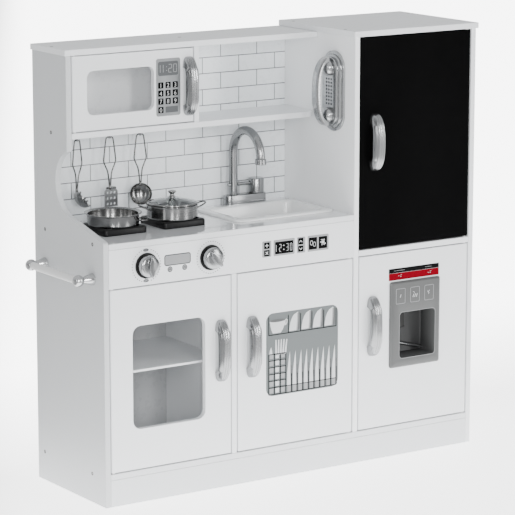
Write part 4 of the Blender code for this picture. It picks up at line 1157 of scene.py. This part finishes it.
def lever():
    """A paddle below a round barrel."""
    low, high = span("dispenser_lever")
    x = (low.x + high.x) / 2
    y, z = high.y - 2.8 * MM, high.z - 3.2 * MM
    width = (high.x - low.x) / 2 - 0.3 * MM
    drop = z - low.z - 0.1 * MM
    section = [(-1.7, 0.0), (-1.9, 0.55), (-2.6, 0.80), (-4.4, 0.95), (-3.2, 1.0), (-0.2, 0.86), (1.6, 0.6),
        (1.9, 0.0)]
    rings = []
    for side, squeeze in ((-1, 0.90), (-0.8, 1.0), (0.8, 1.0), (1, 0.90)):
        rings.append([Vector((x + side * width, y + off * MM * squeeze, z - down * drop)) for off,
            down in section])
    bm = bmesh.new()
    loft(bm, rings)
    barrel = Matrix.Translation((x, y, z)) @ rotation(90, "Y")
    end = width + 0.1 * MM
    lathe(bm, [(0, -end), (2.4 * MM, -end), (2.8 * MM, 0.5 * MM - end), (2.8 * MM, end - 0.5 * MM),
        (2.4 * MM, end), (0, end)], 24, barrel)
    piece("lever_paddle", bm, "black", "dispenser_lever", ("dispenser_lever",), smooth=40)


# ---- printed labels -------------------------------------------------------------------------

LAYER = 0.12 * MM


def slab(bm, outline, face, layer=0):
    """A printed area: a thin prism in front of a face at a distance Y."""
    loft(bm, [upright(outline, y) for y in (face - LAYER * (layer + 1), face - LAYER * 0.1)])


def stroke_loop(bm, outline, width, face, layer=0):
    """A printed closed line, its width in millimetres, drawn inwards from its outline."""
    inner = offset(outline, -width * MM)
    front, back = face - LAYER * (layer + 1), face - LAYER * 0.1
    rings = [(outline, back), (outline, front), (inner, front), (inner, back)]
    loft(bm, [upright(points, y) for points, y in rings], looped=True)


def stroke(bm, points, width, face, layer=0):
    """A printed open line, its width in millimetres."""
    half = width * MM / 2
    left, right = [], []
    for i, point in enumerate(points):
        here = Vector(point)
        before = Vector(points[max(i - 1, 0)])
        after = Vector(points[min(i + 1, len(points) - 1)])
        along = (after - before).normalized()
        out = Vector((along.y, -along.x)) * half
        left.append(tuple(here - out))
        right.append(tuple(here + out))
    slab(bm, left + right[::-1], face, layer)


def dot(bm, x, z, radius, face, layer=0, sides=20):
    """A printed dot, its radius in millimetres."""
    slab(bm, arc((x, z), radius * MM, 0, 360 - 360 / sides, sides - 1), face, layer)


SEGMENTS = {"0": "abcdef", "1": "bc", "2": "abged", "3": "abgcd", "5": "afgcd"}


def clock_digit(bm, digit, x, z, width, height, weight, face, layer):
    """A seven-segment digit with its lower left corner at x, z."""
    half = height / 2
    gap = weight * MM * 0.35
    spots = {"a": ((gap, height), (width - gap, height)), "g": ((gap, half), (width - gap, half)),
        "d": ((gap, 0), (width - gap, 0)), "f": ((0, half + gap), (0, height - gap)),
        "b": ((width, half + gap), (width, height - gap)), "e": ((0, gap), (0, half - gap)),
        "c": ((width, gap), (width, half - gap))}
    for key in SEGMENTS[digit]:
        stroke(bm, [(x + u, z + v) for u, v in spots[key]], weight, face, layer)


def knob_print():
    """A dot every ten degrees round each knob, with an oval above and below the left one."""
    ticks, ovals, symbols = (bmesh.new() for _ in range(3))
    ring = 32.8 * MM
    for side, skipped in (("left", (350, 0, 10, 170, 180, 190)), ("right", ())):
        spot = middle(side + "_knob_collar")
        for bearing in range(0, 360, 10):
            if bearing not in skipped:
                turn = math.radians(90 - bearing)
                dot(ticks, spot.x + ring * math.cos(turn), spot.z + ring * math.sin(turn), 1.0, FRONT,
                    sides=12)
    piece("knob_dots", ticks, "ink_black", smooth=None)
    spot = middle("left_knob_collar")
    x = spot.x - 1.0 * MM
    for z in (spot.z + 31.5 * MM, spot.z - 30.5 * MM):
        slab(ovals, ellipse((x, z), 6.6 * MM, 3.1 * MM, 24), FRONT)
        chevron = [(x - 3.0 * MM, z - 0.5 * MM), (x, z + 0.5 * MM), (x + 3.0 * MM, z - 0.5 * MM)]
        stroke(symbols, chevron, 0.7, FRONT, 1)
    printed("cabinet", ("knob_ovals", ovals, "ink_dark_grey"), ("knob_oval_marks", symbols, "ink_white"))


def display_label():
    """Four printed plates: set keys, a clock, up and down keys, and two appliance marks."""
    borders, plates, keys, marks = (bmesh.new() for _ in range(4))
    bottom, top = 0.4703, 0.5034
    for left, right in ((0.3748, 0.3966), (0.4027, 0.4546), (0.4608, 0.4810), (0.4872, 0.5398)):
        outline = rounded_rectangle((left, bottom), (right, top), 2.2 * MM, 4)
        slab(borders, outline, FRONT)
        slab(plates, offset(outline, -0.55 * MM), FRONT, 1)
    for low, high in (((0.3791, 0.4876), (0.3927, 0.5007)), ((0.3791, 0.4722), (0.3927, 0.4849)),
            ((0.4060, 0.4738), (0.4509, 0.4992)), ((0.4633, 0.4880), (0.4762, 0.5013)),
            ((0.4633, 0.4730), (0.4762, 0.4851)), ((0.4900, 0.4741), (0.5104, 0.4993)),
            ((0.5149, 0.4740), (0.5360, 0.4993))):
        slab(keys, rounded_rectangle(low, high, 0.7 * MM, 2), FRONT, 2)
    set_x, set_high, set_low, arm = 0.3859, 0.4942, 0.4786, 3.6 * MM
    for u, v in ((1, 0), (0, 1)):
        bar = [(set_x - arm * u, set_high - arm * v), (set_x + arm * u, set_high + arm * v)]
        stroke(marks, bar, 1.9, FRONT, 3)
    arrow_x, slash, reach = 0.4698, 3.0 * MM, 3.4 * MM
    for u, foot, tip in ((1, 0.4924, 0.4964), (-1, 0.4808, 0.4768)):
        cross = [(set_x - slash * u, set_low - slash), (set_x + slash * u, set_low + slash)]
        stroke(marks, cross, 1.5, FRONT, 3)
        stroke(marks, [(arrow_x - reach, foot), (arrow_x, tip), (arrow_x + reach, foot)], 1.3, FRONT, 3)
    for digit, left in (("1", 0.4046), ("2", 0.4166), ("3", 0.4341), ("0", 0.4435)):
        clock_digit(marks, digit, left, 0.4788, 4.3 * MM, 14.6 * MM, 0.75, FRONT, 3)
    for high in (0.4822, 0.4905):
        dot(marks, 0.4274, high, 1.3, FRONT, 3, 12)
    for center in ((0.4968, 0.4882), (0.5041, 0.4848)):
        stroke_loop(marks, ellipse(center, 3.4 * MM, 5.2 * MM, 28), 0.8, FRONT, 3)
    fan_mark(marks, 0.5254, 0.4868)
    printed("cabinet", ("label_borders", borders, "ink_grey"), ("label_plates", plates, "ink_light_grey"),
        ("label_keys", keys, "ink_black"), ("label_marks", marks, "ink_white"))


def fan_mark(bm, x, z):
    """A generic appliance mark: a bar, a body and two feet."""
    stroke(bm, [(x - 5.0 * MM, z + 5.6 * MM), (x + 4.5 * MM, z + 5.6 * MM)], 1.4, FRONT, 3)
    stroke(bm, [(x - 6.8 * MM, z + 0.8 * MM), (x - 2.6 * MM, z + 0.8 * MM)], 1.8, FRONT, 3)
    slab(bm, rounded_rectangle((x - 3.2 * MM, z - 2.0 * MM), (x + 3.6 * MM, z + 3.6 * MM), 1.2 * MM, 3),
        FRONT, 3)
    for shift in (-1.9, 2.4):
        stroke(bm, [(x + shift * MM, z - 1.8 * MM), (x + (shift * 1.25) * MM, z - 6.2 * MM)], 1.6, FRONT, 3)
    dot(bm, x + 5.4 * MM, z - 3.0 * MM, 1.5, FRONT, 3, 14)


def barrel_label():
    """A rounded grey panel between the knobs, with two round dials below it."""
    left, right, bottom, top = 0.1402, 0.2023, 0.4790, 0.5010
    bulge = 1.05 * MM
    middle_x, middle_z = (left + right) / 2, 0.49
    half = (right - left) / 2
    shaped = [(x, z + math.copysign(bulge, z - middle_z) * (1 - ((x - middle_x) / half) ** 2)) for x,
        z in rounded_rectangle((left, bottom), (right, top), 4.6 * MM, 5)]
    rim, fill, marks = bmesh.new(), bmesh.new(), bmesh.new()
    slab(rim, shaped, FRONT)
    slab(fill, offset(shaped, -1.7 * MM), FRONT, 1)
    for x, z in ((0.1534, 0.4714), (0.1880, 0.4718)):
        dot(rim, x, z, 5.8, FRONT, 0, 32)
        dot(fill, x, z, 4.3, FRONT, 1, 32)
        stroke(marks, [(x - 2.6 * MM, z - 1.3 * MM), (x, z + 1.5 * MM), (x + 2.6 * MM, z - 1.3 * MM)], 1.3,
            FRONT, 2)
    printed("cabinet", ("panel_rim", rim, "ink_black"), ("panel_fill", fill, "ink_pale_grey"),
        ("panel_marks", marks, "ink_black"))


def numeral(bm, text, x, z, height, face, layer):
    """One printed numeral, centred on x, z."""
    curve = bpy.data.curves.new("numeral", "FONT")
    curve.body = text
    curve.align_x = "CENTER"
    curve.size = height * 1.36
    curve.resolution_u = 3
    curve.extrude = LAYER / 2
    curve.offset = -0.010 * height
    holder = bpy.data.objects.new("numeral", curve)
    SCENE.collection.objects.link(holder)
    mesh = bpy.data.meshes.new_from_object(holder.evaluated_get(bpy.context.evaluated_depsgraph_get()))
    mesh.transform(facing_front(x, face - LAYER * (layer + 0.5), z - height / 2))
    bm.from_mesh(mesh)
    bpy.data.objects.remove(holder, do_unlink=True)
    bpy.data.curves.remove(curve)
    bpy.data.meshes.remove(mesh)


def microwave_panel():
    """A raised keypad with a clock display."""
    face = span("microwave_door")[0].y
    plate, screen, keys, digits = (bmesh.new() for _ in range(4))
    left, right, bottom, top = 0.2090, 0.2665, 0.7570, 0.8745
    outline = rounded_rectangle((left, bottom), (right, top), 4.5 * MM, 6)
    thick = 0.8 * MM
    loft(plate, [upright(offset(outline, -inset), y) for inset, y in ((0, face - 0.05 * MM),
        (0, face - thick * 0.6), (0.5 * MM, face - thick))])
    piece("keypad_plate", plate, "keypad", "microwave_door", smooth=40)
    top_face = face - thick
    screen_low, screen_high = (left + 4.4 * MM, top - 35.0 * MM), (left + 52.2 * MM, top - 6.0 * MM)
    slab(screen, rounded_rectangle(screen_low, screen_high, 4.0 * MM, 4), top_face)
    piece("keypad_screen", screen, "ink_dark_grey", "microwave_door", smooth=None)
    columns = [left + across * MM for across in (10.6, 27.9, 45.1)]
    rows = [top - down * MM for down in (54.3, 70.7, 87.2, 104.5)]
    half_key = 6.25 * MM

    def key(bm, first, last, z):
        corners = (first - half_key, z - half_key), (last + half_key, z + half_key)
        slab(bm, rounded_rectangle(*corners, 1.2 * MM, 3), top_face)

    spots = [(x, z) for z in rows[:3] for x in columns] + [(columns[0], rows[3])]
    for label, (x, z) in zip("1234567890", spots):
        key(keys, x, x, z)
        numeral(digits, label, x, z, 9.2 * MM, top_face, 1)
    piece("keypad_keys", keys, "ink_black", "microwave_door", smooth=None)
    wide = bmesh.new()
    key(wide, columns[1], columns[2], rows[3])
    piece("keypad_wide_key", wide, "ink_dark_grey", "microwave_door", smooth=None)
    clock = bmesh.new()
    for digit, across in (("1", 2.0), ("1", 9.3), ("2", 29.3), ("0", 41.0)):
        clock_digit(clock, digit, left + across * MM, top - 28.5 * MM, 7.4 * MM, 16.0 * MM, 1.1, top_face,
            1)
    for down in (24.5, 17.0):
        dot(clock, left + 24.5 * MM, top - down * MM, 0.9, top_face, 1, 12)
    printed("microwave_door", ("keypad_clock", clock, "ink_light_grey"),
        ("keypad_digits", digits, "ink_white"))


RACK_CORNER = (0.3842, 0.1759)


def rack(*points):
    return [(RACK_CORNER[0] + u * MM, RACK_CORNER[1] + v * MM) for u, v in points]


def dish_rack_print():
    """The printed view into the dishwasher: plates above, a cutlery basket and knives below."""
    ground, shades, white, pale, lines = (bmesh.new() for _ in range(5))
    low, high = rack((0, 0), (181.1, 175.1))
    slab(ground, rounded_rectangle(low, high, 17 * MM, 8), FRONT)
    for post in (55.2, 85.9, 114.5, 144.3):
        blade = [(0, 0)] + [(x, z) for x, z in ((1.2, 9), (3.0, 18), (6.5, 27), (12.0, 34), (21.2, 38.2),
            (22.8, 37.4))]
        base = post + 2.2
        slab(shades, rack((base + 15, 133), (base + 26.5, 134), (base + 26.5, 168), (base + 22, 171)),
            FRONT, 1)
        slab(white, rack(*[(base + u, 132.6 + v) for u, v in blade + [(22.2, 19), (20.4, 0)]]), FRONT, 2)
        slab(pale, rack((base + 22.8, 170), (base + 22.2, 151), (base + 20.4, 132.6), (base + 17.6, 132.6),
            (base + 19.2, 151), (base + 19.8, 168.6)), FRONT, 3)
    slab(white, rack((9.2, 158.0), (10.4, 150), (12.6, 141), (16.5, 132.4), (36.0, 132.4), (41.5, 139),
        (45.4, 148), (47.6, 158.0)), FRONT, 2)
    stroke_loop(white, rack((46.0, 146.5), (49.5, 147), (52.6, 152), (53.0, 157.5), (50.5, 160.0),
        (46.5, 158)), 2.0, FRONT, 2)
    mouth = rack(*ellipse((28.4, 158.6), 19.2, 3.2, 28))
    slab(shades, mouth, FRONT, 3)
    for k in range(9):
        left = 52.2 + 14.2 * k
        knife = [(0, 17.4), (9.0, 17.8), (8.3, 42), (8.0, 63), (7.6, 76), (7.2, 89.5), (5.0, 78), (3.0, 64),
            (0.6, 46)]
        slab(white, rack(*[(left + u, v) for u, v in knife]), FRONT, 2)
        slab(shades, rack((left + 9.0, 4), (left + 13.4, 4), (left + 12.4, 60), (left + 10, 60),
            (left + 8.2, 63)), FRONT, 1)
        slab(pale, rack((left + 1, 4), (left + 9.0, 4), (left + 9.0, 17), (left + 0.5, 17)), FRONT, 2)
    for k, top in enumerate((118.0, 117.6, 117.9, 117.5, 116.6)):
        left = 22.6 + 5.7 * k
        lean = (k - 1) * 1.0
        slab(white, rack((left, 86), (left + 4.4, 86), (left + 4.2 + lean, top), (left + 1.6 + lean, top)),
            FRONT, 2)
    slab(white, rack((7.2, 88), (15.6, 88), (14.6, 96), (12.6, 104), (9.6, 98)), FRONT, 2)
    for row in range(6):
        for column in range(3):
            u, v = 8.0 + 14.3 * column, 6.0 + 14.6 * row
            target = white if column == 1 else pale
            slab(target, rack((u + 1.2, v), (u + 9.2, v), (u + 9.8, v + 9.8), (u + 0.6, v + 9.8)), FRONT, 2)
    thick = 1.5
    frame_lines = [((6.4, 168), (6.4, 129.2)), ((6.4, 129.3), (175.6, 129.3)),
        ((175.6, 129.2), (175.6, 168))]
    frame_lines += [((post, 130), (post, 167.4)) for post in (55.2, 85.9, 114.5, 144.3)]
    frame_lines += [((6.4, v), (49.2, v)) for v in (88.5, 74.6, 60.4, 46.0, 31.8, 17.5)]
    frame_lines += [((u, 3.4), (u, 88.5)) for u in (6.4, 21.0, 35.3, 49.1)]
    frame_lines += [((49.1, 17.5), (175.9, 17.5)), ((6.4, 2.9), (175.9, 2.9))]
    frame_lines += [((63.3 + 14.13 * k, 3), (63.3 + 14.13 * k, 42.2)) for k in range(9)]
    for first, second in frame_lines:
        stroke(lines, rack(first, second), thick, FRONT, 4)
    printed("dishwasher_door", ("rack_ground", ground, "ink_mid_grey"), ("rack_shades", shades, "ink_grey"),
        ("rack_white", white, "ink_white"), ("rack_pale", pale, "ink_light_grey"),
        ("rack_lines", lines, "ink_black"))


def dispenser_label():
    """A red and black strip above the dispenser with a few generic marks."""
    left, right = 0.6962, 0.8286
    border, black, red, marks, small = (bmesh.new() for _ in range(5))
    slab(border, rounded_rectangle((left - 0.6 * MM, 0.3836), (right + 0.6 * MM, 0.4102), 0.8 * MM, 2),
        FRONT)
    slab(black, rounded_rectangle((left, 0.3998), (right, 0.4096), 0.3 * MM, 2), FRONT, 1)
    slab(red, rounded_rectangle((left, 0.3843), (right, 0.3994), 0.3 * MM, 2), FRONT, 1)
    for x, count in ((0.7105, 8), (0.7925, 5)):
        for k in range(count):
            tall = (1.1, 0.7, 0.9)[k % 3]
            stroke(marks, [(x + k * 3.6 * MM, 0.4046), (x + k * 3.6 * MM + 2.4 * MM, 0.4046)], tall, FRONT,
                2)
    for x, flip in ((0.7205, 1), (0.7990, -1)):
        stroke(small, [(x, 0.3925), (x + 3 * MM, 0.3925 + flip * 1.6 * MM)], 1.2, FRONT, 2)
        stroke(small, [(x + 5 * MM, 0.3912), (x + 8.5 * MM, 0.3912)], 1.1, FRONT, 2)
        stroke(small, [(x + 5.5 * MM, 0.3942), (x + 9.5 * MM, 0.3948)], 1.0, FRONT, 2)
    printed("dispenser_door", ("strip_border", border, "ink_white"), ("strip_black", black, "ink_black"),
        ("strip_red", red, "ink_red"), ("strip_marks", marks, "ink_light_grey"),
        ("strip_icons", small, "ink_light_grey"))


# ---- screws ---------------------------------------------------------------------------------

def screw(bm, placed):
    """A flush countersunk head with a round socket."""
    profile = mm((0, -0.2), (1.3, -0.2), (1.3, 0.12), (3.4, 0.16), (3.9, 0.02), (3.9, -0.3), (0, -0.4))
    lathe(bm, profile, 18, placed)


SCREW_RISE = 0.16 * MM


def tall_top():
    """The tall unit's top board, low enough for its screw heads to end level with the CAD's board."""
    low, high = span("tall_top_board")
    face, edge = high.z - SCREW_RISE, 0.6 * MM
    bm = bmesh.new()
    loft(bm, [laid(inset_rectangle(low.xy, high.xy, inset, 1.2 * MM, 4), z) for inset,
        z in ((edge, low.z), (0, low.z + edge), (0, face - edge), (edge, face))])
    piece("tall_top_face", bm, "white", "cabinet", ("tall_top_board",), smooth=30)


def screws():
    side = bmesh.new()
    for y, z in ((0.2030, 0.7345), (0.2336, 0.5325), (0.0425, 0.5313), (0.2487, 0.0613), (0.0540, 0.0604)):
        screw(side, facing_left(0, y, z))
    piece("side_screws", side, "screw", "cabinet", smooth=30)
    top = bmesh.new()
    for node, drop, spots in (("upper_top_board", 0, ((0.0055, 0.205), (0.3065, 0.205))),
            ("tall_top_board", SCREW_RISE, ((0.611, 0.045), (0.611, 0.235), (0.914, 0.045),
            (0.914, 0.235)))):
        level = span(node)[1].z - drop
        for x, y in spots:
            screw(top, Matrix.Translation((x, y, level - 0.02 * MM)))
    piece("top_screws", top, "screw", "cabinet", smooth=30)


repaint_boards()
surroundings()
floor()
camera()
handles()
for knob_side, lean in (("left", 0), ("right", -40)):
    knob(knob_side, lean)
for grate_node in ("left_burner_grate", "right_burner_grate"):
    grate(grate_node)
cookware()
lid()
hook_rail()
pasta_server()
slotted_turner()
ladle()
sink()
tap()
phone()
towel_rail()
dispenser()
knob_print()
barrel_label()
display_label()
microwave_panel()
dish_rack_print()
dispenser_label()
tall_top()
screws()
